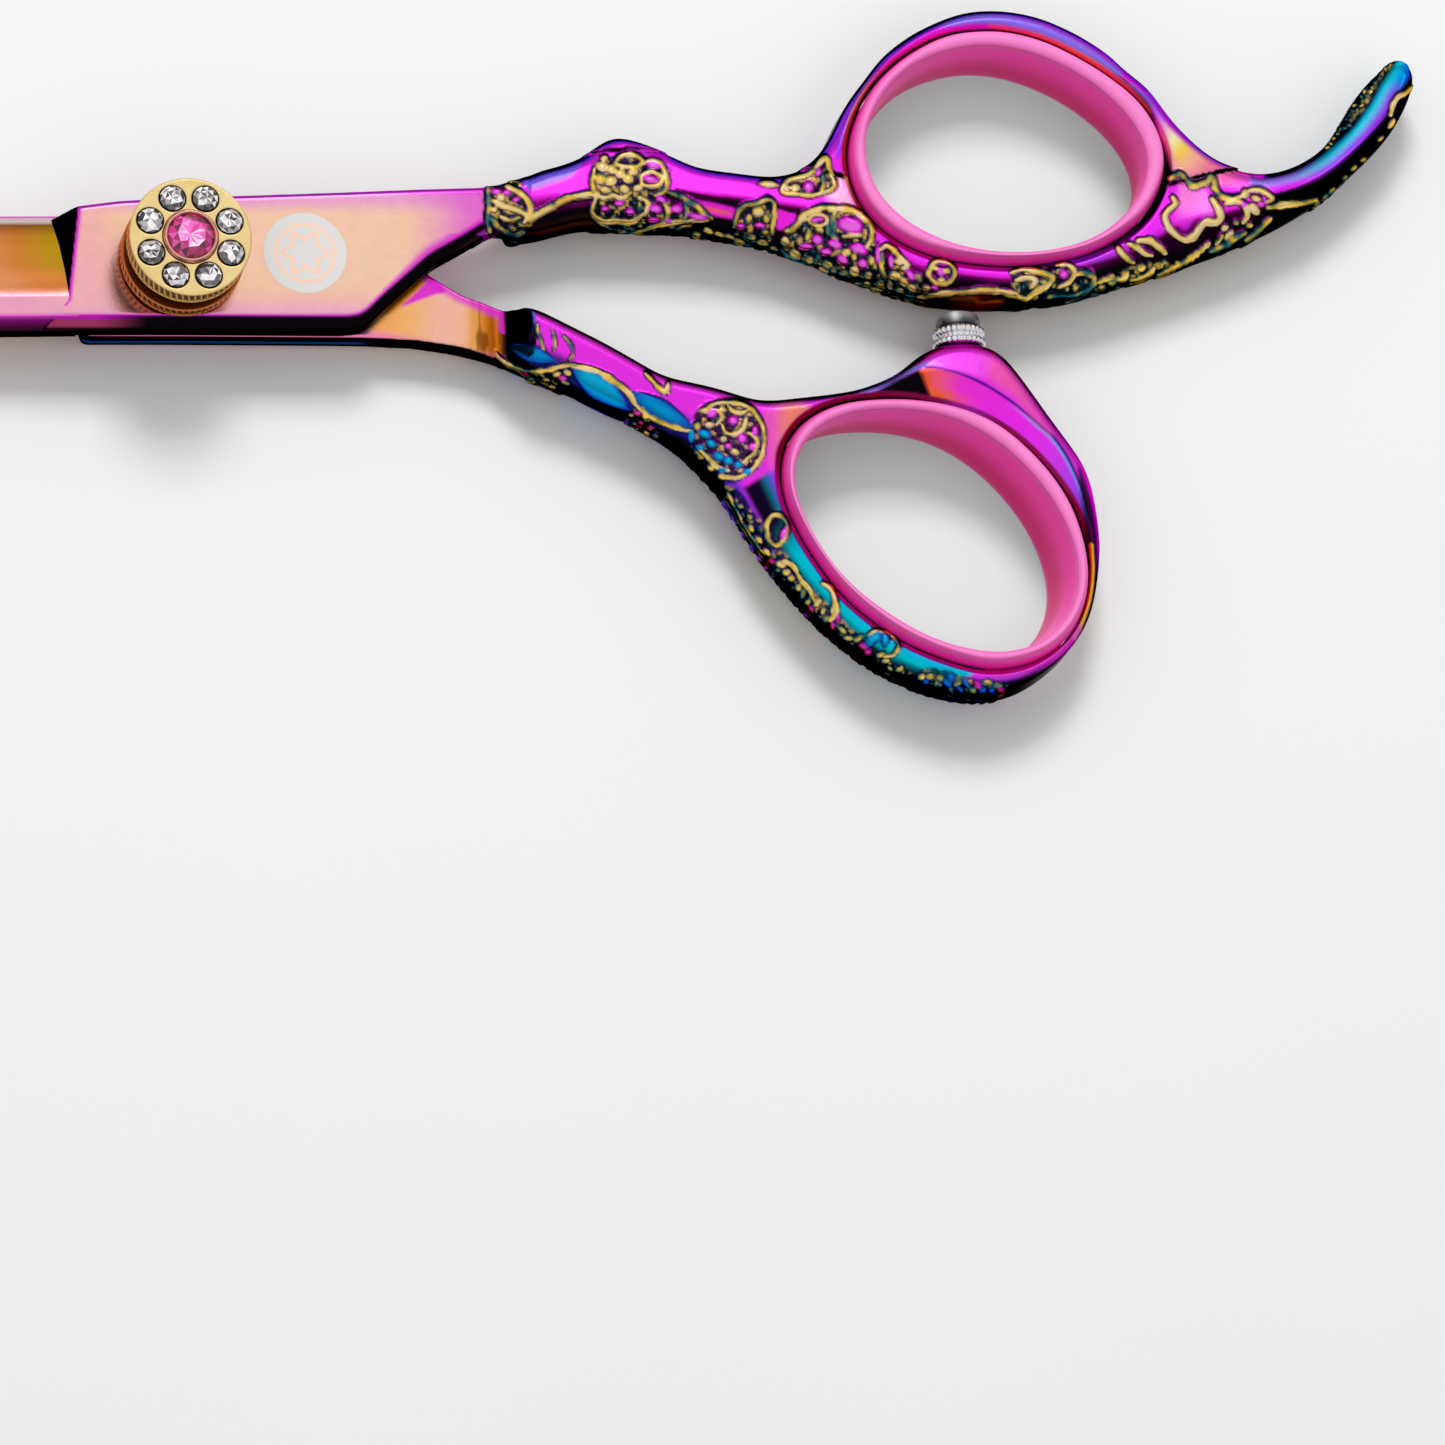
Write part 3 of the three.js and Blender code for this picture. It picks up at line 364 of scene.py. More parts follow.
ground([(592, 167), (604, 160), (618, 154), (637, 154), (655, 159), (667, 168), (668, 186), (664, 198), (690, 206), (712, 219), (690, 226), (664, 232), (640, 236), (618, 234), (600, 226), (592, 208)])
rib([(594, 168), (592, 182), (596, 196), (592, 210), (599, 222), (610, 229)], 2.4, 0.4)
rib([(619, 231), (630.5, 234), (645, 230), (656, 226), (676, 222), (708, 220)], 2.2, 0.9)
rib([(667.7, 191.6), (682, 197), (696, 206), (711, 218)], 2.8, 0.2)
rib([(593, 214.6), (599, 219), (607.5, 222), (616, 221), (630.5, 222), (642, 214.6)], 2.8, 0.75)
rib([(596, 195), (604.7, 198), (613, 195), (622, 198), (630.5, 192)], 2.6, 0.8)
rib([(639, 197.4), (647.6, 203), (644.8, 214.6)], 2.6, 0.75)
rib([(664.8, 204), (668, 210), (666, 220)], 2.6, 0.25)
rib([(684, 203), (687, 210), (684, 219)], 2.2, 0.2)
rib([(616, 163), (622, 154.6), (633, 154), (642, 160), (634, 166)], 2.4, 0.6, closed=True)
rib([(642, 163), (653, 159.5), (662, 166), (666, 177), (665, 190), (655, 195)], 2.6, 0.55)
rib([(642, 175), (653, 171), (662, 177.3), (657, 185), (643, 184)], 2.2, 0.5, closed=True)
many("t", [(650.5, 178.5, 7.5, 3.4, 8), (653.5, 165, 7, 3.2, 14), (655, 208.8, 6, 4.6), (676.3, 209, 6, 4.4), (660.5, 199, 5.4, 3.6, 20), (697, 216.4, 9.5, 3, 12), (619, 203, 5, 2.8), (653, 220, 6, 2.6), (630, 212, 4.5, 3.4), (605, 209, 3.6, 3), (668, 221, 3.6, 2.2)])
many("g", [(602, 166, 5.6, 5, 30, 1.0), (600, 178, 5.6, 5, 60, 1.0), (610.5, 180, 6, 5.4, 0, 1.0), (612, 168.6, 5.2, 4.6, 20, 1.0), (620, 173, 5, 4.6, 0, 1.0), (628, 178, 5.4, 5, 10, 1.0), (633, 169.6, 5, 4.6, 0, 1.0), (624.7, 188, 5.2, 4, 20, 0.95), (606, 189, 5, 3.6, 10, 0.8), (638, 187, 4.6, 3.6, 0, 0.9), (604, 157.5, 4, 3, -30, 0.8)])
# sprig, arrow leaf and small leaf at the ring
ground([(733, 228), (739, 210), (756, 203), (770, 199), (774, 205), (774, 222), (774, 243), (762, 246), (746, 240)])
rib([(734, 226), (738, 212), (745, 205), (757, 202.5), (768, 198.5), (773.5, 203), (774, 216), (771, 233)], 2.6, 0.3)
many("g", [(757.5, 211.7, 5, 5, 0, 1.0), (748, 219, 3.4, 5.6, 20, 0.15), (696.4, 235.4, 5, 3.4, 20, 0.9), (708, 231, 5, 2.8, 20, 0.8), (719, 235, 5.6, 2.8, 20, 0.9), (729, 237, 5.6, 2.6, 15, 1.0), (738, 242, 6.5, 2.8, 15, 0.9), (762, 243, 5, 3.6, 10, 0.9), (751, 237, 4.4, 3, 0, 0.5), (765, 232, 3.6, 3, 0, 0.3), (766, 218, 3, 4, 0, 0.3), (706, 240, 4, 2, 20, 0.7), (748, 246, 4.4, 2.4, 10, 0.8), (774, 249, 4.4, 2.6, 20, 0.8)])
many("t", [(759.4, 225.4, 5, 3), (740.8, 226.4, 3.8, 3.2)])
ground([(783, 190), (789, 180), (806, 174), (824, 158), (830, 168), (834, 186), (822, 195), (800, 195)])
rib([(782, 191), (788, 180), (808, 174), (825, 157.5), (829, 170), (834, 186), (814, 194.5), (794, 193)], 2.3, 0.6, closed=True)
rib([(822.4, 174), (823, 184), (821, 191)], 2.6, 0.15)
many("t", [(808.6, 186, 5.4, 5.6), (818, 172, 2.6, 4.4, 20)])
many("g", [(769, 183.6, 9, 3.2, 5, 1.0), (795, 187, 4.4, 3.6, 0, 0.95), (787, 187.4, 3.4, 2.6, 0, 0.9)])
# cluster under the finger ring
ground([(786, 232), (799, 218), (806, 211), (828, 204), (856, 209), (873, 224), (876, 246), (884, 262), (886, 288), (866, 290), (838, 280), (812, 266), (786, 252)])
rib([(781, 250), (790, 259), (803, 265), (816, 271), (830, 277)], 2.6, 0.4)
rib([(787, 231), (797, 224.5), (803, 215.5), (813, 210.5), (823.5, 206.6), (831, 208.6), (838, 208), (850, 208.6), (859, 213.4), (867, 220), (871.6, 229), (871, 238), (867, 246)], 3.0, 0.62, taper=0.1)
rib([(835, 211), (832.5, 217), (832.3, 224.5), (831.6, 232.5), (836, 238.6)], 3.2, 0.15)
rib([(808.6, 221), (811, 216), (818, 213.8), (825.4, 216), (826.3, 222), (821, 225), (813, 224)], 1.9, 0.75, closed=True)
rib([(843, 236), (853, 234), (861, 235)], 2.6, 0.85)
rib([(808.4, 229), (806.4, 239)], 2.8, 0.5)
rib([(836, 279.8), (844, 283.4), (851, 285), (861, 284)], 2.2, 0.95)
rib([(868, 289.6), (882, 291)], 2.2, 0.9)
rib([(880.7, 249), (886, 245), (891.4, 247.7), (899.5, 255.7), (907.5, 264.6)], 2.8, 0.7)
rib([(882, 253), (881, 265), (884, 276)], 2.5, 0.2)
many("t", [(850, 224.5, 12, 8, 10), (817.3, 219.3, 6.6, 2.6, -8), (817.3, 239.6, 4.8, 4.6), (834.7, 244, 6.8, 4.4, 15), (858.4, 248.6, 8.2, 4.8, 22), (805.7, 246.6, 7, 3.2), (825.4, 252, 5.4, 3.8), (842.3, 260, 5.6, 4.8, 30), (862, 264, 4.8, 5.6), (890.5, 261.6, 2.8, 6.2), (877.4, 254, 2.6, 8.6)], height=0.22)
many("g", [(803, 218.4, 4.6, 3.2, 0, 1.0), (819, 229.4, 4.4, 3.2, 20, 1.0), (827.6, 230, 3.4, 5.4, 0, 0.1), (785, 241.4, 4.4, 4, 40, 0.9), (795, 254.8, 6, 4.2, 40, 1.0), (809.3, 260.4, 4, 3, 20, 0.8), (827, 264, 4.8, 3.6, 20, 0.95), (823.6, 271, 5.6, 3.6, 40, 0.85), (846, 252, 4, 3.6, 0, 1.0), (854, 271, 4.8, 4.6, 0, 1.0), (843, 273, 5.4, 3, 0, 0.85), (895, 275.4, 6, 4, 30, 1.0), (889.6, 287, 3.4, 5.2, 0, 0.8), (853.4, 256, 2.8, 4, 0, 0.4), (871, 261, 2.8, 5, 0, 0.5), (899, 261, 4.4, 3.6, 0, 0.95), (905, 268, 4, 3, 0, 1.0), (817, 258, 3, 4, 30, 0.1), (833, 270, 3, 4, 20, 0.1), (868, 275, 4, 4, 0, 0.15), (866, 284, 4.4, 2.8, 0, 0.6), (799, 240, 3.4, 4.6, 20, 0.15), (880, 283, 4, 4, 0, 0.3), (813, 269, 4.4, 2.4, 25, 0.8)])
ground([(884, 286), (892, 266), (906, 264), (920, 280), (930, 297), (914, 301), (896, 298)])
many("g", [(903, 281, 5, 3.6, 50, 0.6), (912, 288, 5, 3.2, 40, 0.9), (898, 291, 5.4, 3.2, 20, 0.9), (909, 297, 5.6, 2.8, 8, 0.8), (922, 298, 6, 2.6, 0, 0.95), (918, 278, 3.6, 4.4, 0, 0.3)])
blob(910, 275, 3.6, 7, -30, "t")
# small flower, lower cord, leaves along the under side
rib([(941, 260), (951, 264), (954, 273), (948, 282), (937, 283), (929, 275), (932, 264)], 2.4, 0.75, closed=True)
many("t", [(941, 271.6, 4.6, 4.4), (934, 288, 4, 2.6)])
many("g", [(935, 268, 3, 2.4, 0, 1.0), (947, 270, 2.8, 3.2, 0, 0.95), (941, 279, 3.4, 2.4, 0, 0.9), (926, 288, 4, 3, 0, 0.8)])
rib([(930, 296), (944, 293.5), (970, 291.5), (997, 291), (1012, 294), (1024, 299)], 3.2, 0.85, taper=0.15)
ground([(1010, 270), (1040, 266), (1064, 264), (1090, 268), (1104, 280), (1130, 266), (1150, 262), (1168, 262), (1160, 280), (1120, 294), (1080, 302), (1040, 305), (1020, 300)])
rib([(1011, 272), (1024, 268.5), (1038, 271), (1052, 276), (1046, 286), (1034, 293), (1026, 300)], 2.9, 0.75)
rib([(1016, 280), (1026, 277), (1036, 280), (1030, 287)], 2.4, 0.9)
rib([(1056, 264), (1066, 263), (1074, 270), (1070, 281), (1058, 287)], 2.6, 0.7)
rib([(1076, 274), (1086, 272), (1094, 279), (1088, 290), (1074, 296)], 3.0, 0.12)
rib([(1048, 297), (1064, 296), (1082, 299)], 2.6, 0.35)
rib([(1098, 282), (1110, 278), (1122, 280)], 2.6, 0.2)
blob(1064, 274, 4.6, 4.6, 0, "t")
many("g", [(1044, 281, 4, 3, 0, 0.5), (1056, 296, 4, 3, 0, 0.2), (1102, 287.5, 4, 3, 0, 0.9), (1112, 283, 4, 3, 0, 0.9), (1118, 289, 4.4, 2.2, -20, 1.0), (1125.5, 276, 3, 6.4, 20, 1.0), (1112, 276, 3, 2.6, 0, 1.0), (1141, 267.5, 4.2, 4, 0, 1.0), (1133, 281, 5, 2.4, -20, 0.8), (1095, 295, 4.6, 2.6, -10, 0.6), (1075, 287, 3, 4, 0, 0.4)])
rib([(1136, 282), (1148.5, 274), (1154, 268)], 2.8, 0.75)
rib([(1117, 246), (1123, 255), (1133, 262)], 2.8, 0.6)
rib([(1128, 243), (1137, 247), (1144, 253), (1152, 255)], 3.0, 0.85)
rib([(1138, 240), (1150, 240), (1158, 246), (1165, 253)], 3.2, 0.8)
rib([(1157, 277), (1175, 267), (1192, 257), (1209, 243)], 3.3, 0.8, bead=7.0)
# cloud shaped outline at the root of the finger rest, with its side leaves
rib([(1169, 178), (1179, 173), (1187, 180), (1194.5, 185), (1205, 182), (1211.5, 177), (1215, 187), (1221, 196), (1231, 197.6), (1243, 195)], 3.5, 0.12)
rib([(1172.7, 197), (1175, 203), (1169, 209), (1165, 216), (1168, 227), (1177.5, 236), (1187, 239.7), (1195.7, 234.4), (1204, 222), (1216, 222.7), (1221, 217.4), (1218.4, 208), (1212.7, 198.5)], 3.3, 0.95, taper=0.1)
rib([(1226, 203), (1238, 201), (1246, 208), (1247, 216), (1243, 222)], 3.2, 0.95)
rib([(1250, 190), (1260, 189.6), (1272, 197.6), (1266, 202)], 2.7, 0.7)
many("g", [(1244.6, 193.4, 3.4, 4.6, 0, 1.0), (1256, 197.6, 5, 3.2, 20, 0.9), (1254, 209, 6, 3.8, 50, 1.0), (1225, 227.5, 3.8, 2.8, -40, 1.0), (1229, 235, 6, 2.8, -48, 1.0), (1249, 225, 3.6, 2.6, 0, 0.2), (1236, 222, 3, 2.6, 0, 0.3)])
many("t", [(1261, 204, 4, 3), (1243.6, 204.6, 3.6, 2.6)])
rib([(1211, 251), (1228, 243), (1244, 232)], 3.6, 0.22)
rib([(1246, 241), (1258, 231), (1270, 218)], 3.2, 0.42)
rib([(1222, 235), (1216, 244)], 2.4, 0.2)
rib([(1268, 207), (1288.6, 204), (1302, 203), (1316, 200)], 3.0, 0.42)
many("g", [(1317, 204.4, 4.6, 2.6, -45, 0.9), (1325.4, 197.6, 4.4, 2.4, -50, 0.8), (1332.6, 190.4, 4.6, 2.6, -45, 0.85), (1345, 178, 4, 2, -45, 0.2), (1363.5, 159.6, 3.4, 2.2, -30, 0.5), (1354, 168, 4, 2, -45, 0.15), (1391.6, 123.6, 5.4, 2.4, -58, 0.7), (1381, 138, 4, 2, -50, 0.15)])
rib([(1390.6, 114), (1393.6, 102), (1399.4, 95), (1406.4, 92), (1413, 86)], 2.7, 1.0)
# engraved inner flank of the finger rest
scatter([(1324, 146), (1331, 136), (1336, 129), (1341, 121), (1350, 109), (1359, 97), (1369, 82), (1376, 76), (1390, 62), (1395, 60), (1378, 84), (1364, 108), (1344, 129), (1328, 147)], 3.2, 72, ("g",), (0.35, 0.75), 0.12)

# ---- thumb handle: bamboo strokes, stem, lens panels, bud and ball flower
rib([(537, 324), (538, 333), (542, 343), (544, 352)], 1.5, 0.8, 0.1)
rib([(552, 330), (555, 340), (554, 350)], 1.5, 0.8, 0.1)
rib([(563, 335), (570, 343), (573, 352), (569, 360)], 1.6, 0.8, 0.1)
blob(531, 353, 25, 7.6, 18, "b", height=0.16, lens=True)
blob(600, 388, 33, 12.5, 38, "b", height=0.22, lens=True)
blob(660, 409, 34, 9.5, 29, "b", height=0.16, lens=True)
rib([(492, 349), (504, 362), (522, 371), (542, 371), (560, 366), (574, 364)], 2.5, 0.75)
rib([(572, 366), (586, 368), (600, 372), (616, 382), (628, 393), (635, 404)], 2.9, 0.65)
rib([(635, 404), (650, 416), (672, 426), (692, 431)], 2.4, 0.8)
many("g", [(514, 376, 5, 3, 10, 0.9), (530, 380, 5, 2.8, 10, 0.8), (545, 381, 5, 3, 0, 1.0), (556, 374, 4, 2.6, -20, 0.9), (551, 388, 5, 2.8, 10, 0.9), (567, 372, 4, 2.6, 30, 0.7), (540, 376, 4, 2.2, 0, 0.5), (565, 383, 4.4, 2.4, 20, 0.8)])
many("t", [(524, 375, 4, 2.4), (562, 378, 4, 2.4)])
rib([(645, 373), (654, 382), (662, 390), (668, 392)], 2.6, 0.95)
rib([(668, 383), (667, 390), (664, 393)], 2.2, 0.9)
ground([(628, 412), (640, 406), (650, 416), (654, 430), (644, 436), (632, 428)])
many("t", [(637, 413, 3.6, 3), (640, 424, 3.4, 3), (650, 428, 3.4, 2.6)])
many("g", [(630, 416, 3.4, 2.8, 0, 0.9), (645, 416, 3.4, 3, 0, 1.0), (633, 425, 3.6, 2.6, 0, 0.8), (645, 434, 4, 2.6, 20, 0.9), (655, 436, 4, 2.2, 20, 0.6)])
ground([(690, 440), (692, 420), (700, 408), (714, 401), (736, 399), (752, 406), (763, 420), (766, 440), (762, 460), (750, 474), (732, 480), (714, 475), (698, 462)])
rib([(703, 410), (716, 403), (733, 402), (749, 407), (760, 420), (764, 438), (761, 456), (752, 469), (738, 477), (720, 476)], 2.4, 0.55, taper=0.1)
rib([(706, 412), (716, 409), (722, 416), (716, 424)], 2.2, 0.7)
rib([(727, 404), (734, 411), (742, 412), (750, 408)], 2.2, 0.6)
rib([(722, 424), (726, 432), (736, 434), (743, 428), (746, 418)], 2.2, 0.7)
rib([(748, 432), (757, 440), (754, 452), (746, 458)], 2.2, 0.65)
rib([(697, 446), (706, 456), (716, 466), (728, 470)], 2.2, 0.7)
many("t", [(712, 413, 5.4, 3.4, -20), (733, 420, 5, 4.4), (742, 438, 4.4, 4.4), (755, 430, 3.2, 5.4), (728, 445, 3.4, 3), (752, 446, 3.2, 4)])
many("b", [(691, 436, 3.4, 6), (704, 433, 5.6, 4, 20), (711, 443, 5, 3.8, 30), (718, 456, 5.6, 4, 30), (700, 447, 4, 3), (728, 460, 4.6, 4), (738, 464, 4.4, 3.6), (747, 471, 4, 3.4), (722, 470, 4, 2.8)])
many("g", [(723, 438, 3.6, 3, 0, 1.0), (735, 451, 4, 3.2, 20, 0.9), (697, 425, 3.4, 4.4, 20, 0.8), (745, 461, 3, 3, 0, 0.8), (709, 424, 4, 3, 0, 0.9), (722, 409, 3.4, 2.6, 0, 0.8), (757, 461, 3, 4, 20, 0.3), (710, 468, 3.6, 2.6, 30, 0.8)])
# vine down the outside of the thumb ring
ground([(722, 484), (738, 490), (752, 510), (768, 530), (790, 560), (812, 588), (836, 612), (856, 634), (872, 652), (862, 656), (836, 634), (806, 606), (780, 580), (756, 548), (738, 520)], 0.85)
rib([(724, 496), (734, 508), (742, 524), (752, 540), (764, 556)], 2.2, 0.7, bead=8)
many("g", [(729, 498, 5.6, 3, 60, 1.0), (740, 506, 3.4, 3, 0, 0.7), (739, 520, 5, 3, 60, 0.9), (750, 528, 4.6, 3, 60, 0.9), (758, 540, 4.4, 3, 50, 1.0), (766, 552, 4, 3, 50, 0.9), (749, 516, 3.4, 2.4, 50, 0.5)])
rib([(771, 516), (781, 515), (787, 524), (785, 537), (776, 545), (768, 538), (766, 526)], 2.4, 0.35, closed=True)
blob(783, 533, 3, 6, 20, "t")
scatter([(766, 556), (782, 560), (796, 578), (812, 594), (830, 606), (842, 622), (826, 626), (804, 606), (786, 586), (772, 570)], 5.4, 93, ("g", "g", "t"), (0.7, 1.0), 0.16)
rib([(822, 583), (831, 588), (835, 600), (836, 612), (829, 620)], 2.8, 0.85)
rib([(784, 560), (793, 566), (800, 578), (808, 588), (814, 600)], 2.3, 0.8)
scatter([(838, 622), (852, 630), (866, 640), (880, 652), (896, 664), (912, 672), (900, 676), (878, 664), (856, 648), (842, 634)], 5.4, 95, ("g", "t", "g"), (0.6, 1.0), 0.16)
blob(873, 638, 5, 9, 50, "b")
blob(886, 637, 4, 8, 10, "b")
rib([(868, 634), (876, 630), (890, 633), (898, 644), (894, 654), (884, 656)], 2.2, 0.3)
scatter([(916, 672), (936, 668), (960, 676), (990, 682), (1008, 684), (1000, 694), (970, 697), (940, 690), (922, 682)], 5.4, 96, ("g", "t", "g", "b"), (0.3, 1.0), 0.15)


def blur(a, s):
    k = np.exp(-0.5 * (np.arange(-int(3 * s), int(3 * s) + 1) / s) ** 2)
    k /= k.sum()
    h = len(k) // 2
    p = np.pad(a, ((h, h), (0, 0)), mode="edge")
    out = sum(w * p[t:t + a.shape[0]] for t, w in enumerate(k))
    p = np.pad(out, ((0, 0), (h, h)), mode="edge")
    return sum(w * p[:, t:t + a.shape[1]] for t, w in enumerate(k))


uu, vv = np.meshgrid(ORN_U0 + np.arange(ORN_W) / ORN_RES, ORN_V0 + np.arange(ORN_H) / ORN_RES, indexing="ij")
grain = value_noise(uu, vv, 3.2, 12) * 0.6 + value_noise(uu, vv, 1.7, 13) * 0.4
lumps = smooth(0.42, 0.72, value_noise(uu, vv, 4.6, 51) * 0.7 + value_noise(uu, vv, 2.3, 52) * 0.3)
relief += bed * lumps * 0.13
relief = blur(relief, 0.9)
gu, gv = np.gradient(relief)
# painted light and shade: ribs turn from gold on their tops and on the sides facing the light towards teal and black on
# the sides turned away, and in slow patches along their run
lit = (gu * 0.35 + gv * 0.94) * 13.0
high = smooth(0.05, 0.2, relief)
shade = np.clip(0.27 + 0.46 * (blur(warm, 1.5) - 0.5) + 0.34 * high - 0.95 * lit + 0.62 * (value_noise(uu, vv, 7.0, 15) - 0.5) + 0.2 * (grain - 0.5), 0, 1)
# painted shade on the textured ground: its lumps and grain, darker on slopes turned away from the light
bed_grain_shade = np.clip(0.12 + 0.5 * lumps - 0.9 * lit + 0.3 * (grain - 0.5), 0, 1)
# painted light and shade over the domed cells, paler on their tops and on the sides facing the light
dome = np.clip(0.25 + 0.75 * high - 0.7 * lit, 0, 1)
rest_of = 1 - np.clip(gilt + tint + blue, 0, 1)
crevice_shade = np.clip(crevice_shade, 0, 1) * rest_of
bed = np.clip(bed, 0, 1) * rest_of
ORN = {"relief": relief * 1.1 - crevice_shade * 0.05, "bed": bed, "bed_grain_shade": bed_grain_shade, "gilt": gilt, "tint": tint, "blue": blue, "grain": grain, "crevice_shade": crevice_shade, "shade": shade, "dome": dome}


def ornament(name, u, v):
    """bilinear sample of one ornament field"""
    m = ORN[name]
    x = np.clip((u - ORN_U0) * ORN_RES, 0, ORN_W - 1.001)
    y = np.clip((v - ORN_V0) * ORN_RES, 0, ORN_H - 1.001)
    i, j = x.astype(int), y.astype(int)
    fx, fy = x - i, y - j
    return (m[i, j] * (1 - fx) + m[i + 1, j] * fx) * (1 - fy) + (m[i, j + 1] * (1 - fx) + m[i + 1, j + 1] * fx) * fy



# ------------------------------------------------------------------ solids of the two blades as distance fields
def rounded_slab(d2, z, half, r, soft=0.0):
    """distance to a plan shape of the given half height with its edges rounded to r"""
    wx = d2[:, :, None] + r
    wz = np.abs(z)[None, None, :] - half[:, :, None] + r
    return np.minimum(np.maximum(wx, wz), 0) + np.hypot(np.maximum(wx, 0), np.maximum(wz, 0)) - r


def plan_grid(lo, hi, h):
    xs = np.arange(lo[0], hi[0] + h, h).astype(F32)
    ys = np.arange(lo[1], hi[1] + h, h).astype(F32)
    zs = np.arange(lo[2], hi[2] + h, h).astype(F32)
    X, Y = np.meshgrid(xs, ys, indexing="ij")
    return xs, ys, zs, X, Y


def crease(X, Y, ridge_px, z=2.75):
    """signed plan distance beyond a crease (positive to the right of its run) and the share of its length"""
    c = catmull(ridge_px, False, 6)
    p = unproject(c[:, 0], c[:, 1], z)[:, :2]
    p = relax(resample(p, 0.5, False), False, 4)
    d, s = polyline_field(X, Y, p, False)
    return -d, s


def plate_field(X, Y, zs, outline, sign, lower_chamfer, upper_chamfer, mid):
    """pivot plate between the ride face and the outer face, chamfered on the outer face; sign +1 for the front blade"""
    d2, _ = polyline_field(X, Y, relax(resample(outline, 0.35, True), True, 2), True)
    w = np.where(mid, lower_chamfer, upper_chamfer).astype(F32)
    z = (zs * sign)[None, None, :]
    D = np.maximum(d2[:, :, None], z - 2.8)
    D = np.maximum(D, 0.05 - z)
    ch = (d2 + w)[:, :, None] * 0.555 + (z - 2.8) * 0.832
    return smax(D, ch, 0.08), d2


FRONT_PLATE = [(-11.6, 3.96)] + FINGER_PLATE[:-2] + [(-12.2, -5.93)]


def finger_field(h):
    lo, hi = (-12.6, -7.2, -3.3), (109.4, 24.2, 3.45)
    xs, ys, zs, X, Y = plan_grid(lo, hi, h)
    d2, _ = polyline_field(X, Y, FINGER_PLAN, True)
    ds, _ = polyline_field(X, Y, FINGER_SEAT, True)
    beyond, share = crease(X, Y, FINGER_RIDGE)
    # the lower flank falls away from the crease: steep on the shank, gentler under the ring, steep again on the rest
    slope = np.interp(share, [0, 0.05, 0.3, 0.42, 0.6, 0.75, 0.86, 1], [0.1, 0.42, 0.45, 0.4, 0.42, 0.5, 0.62, 0.62]).astype(F32)
    drop = slope * np.sqrt(np.maximum(beyond, 0) ** 2 + 0.09) - slope * 0.3
    # the far side of the crease leans back a little on the shank and the rest
    back = np.interp(share, [0, 0.08, 0.3, 0.4, 0.7, 0.86, 1], [0.06, 0.12, 0.12, 0.05, 0.05, 0.3, 0.34]).astype(F32) * np.maximum(-beyond, 0) * (beyond > -3.4)
    half = 2.82 - np.minimum(drop, 1.9) - np.minimum(np.where(X > 30, back, 0), 0.7)
    # the finger rest thins towards its tip
    half = half - 0.55 * smooth(92, 108, X)
    D = rounded_slab(d2, zs, half.astype(F32), 1.25)
    D = smax(D, -(ds[:, :, None] + 0.0 * zs[None, None, :]), 0.12)
    D = smax(D, (0.55 - ds[:, :, None]) * 0.6 + (np.abs(zs)[None, None, :] - 2.72) * 0.8, 0.06)
    z = zs[None, None, :]
    under = np.minimum(0.05 - z, (X[:, :, None] - 27.7) * -0.805 + (z - 0.05) * -0.593)
    D = smax(D, under, 0.15)
    midy = np.interp(xs, [-11, 13, 16, 20, 24, 28], [0.5, 0.5, 1.0, 3.2, 4.6, 5.4])[:, None]
    P, dp = plate_field(X, Y, zs, FRONT_PLATE, 1, 0.95, 0.28, Y < midy)
    line = np.interp(ys, [-6.2, -4.4, -3.6, 4.2, 5.0], [-11.2, -10.2, -9.55, -8.42, -8.34])[None, :, None]
    shoulder = (line - X[:, :, None]) * 0.8 + (z - 2.8) * 0.6
    P = smax(P, shoulder, 0.12)
    D = smin(D, P, 0.3)
    # recess of the tension washers, bore square, recess of the blade washer
    rr = np.hypot(X, Y)[:, :, None]
    sq = np.maximum(np.abs(X), np.abs(Y))[:, :, None] - 1.66
    D = np.maximum(D, -np.maximum(rr - 4.4, 2.2 - z))
    D = np.maximum(D, -sq)
    D = np.maximum(D, -np.maximum(rr - 4.06, z - 0.47))
    return D, lo, xs, ys, zs


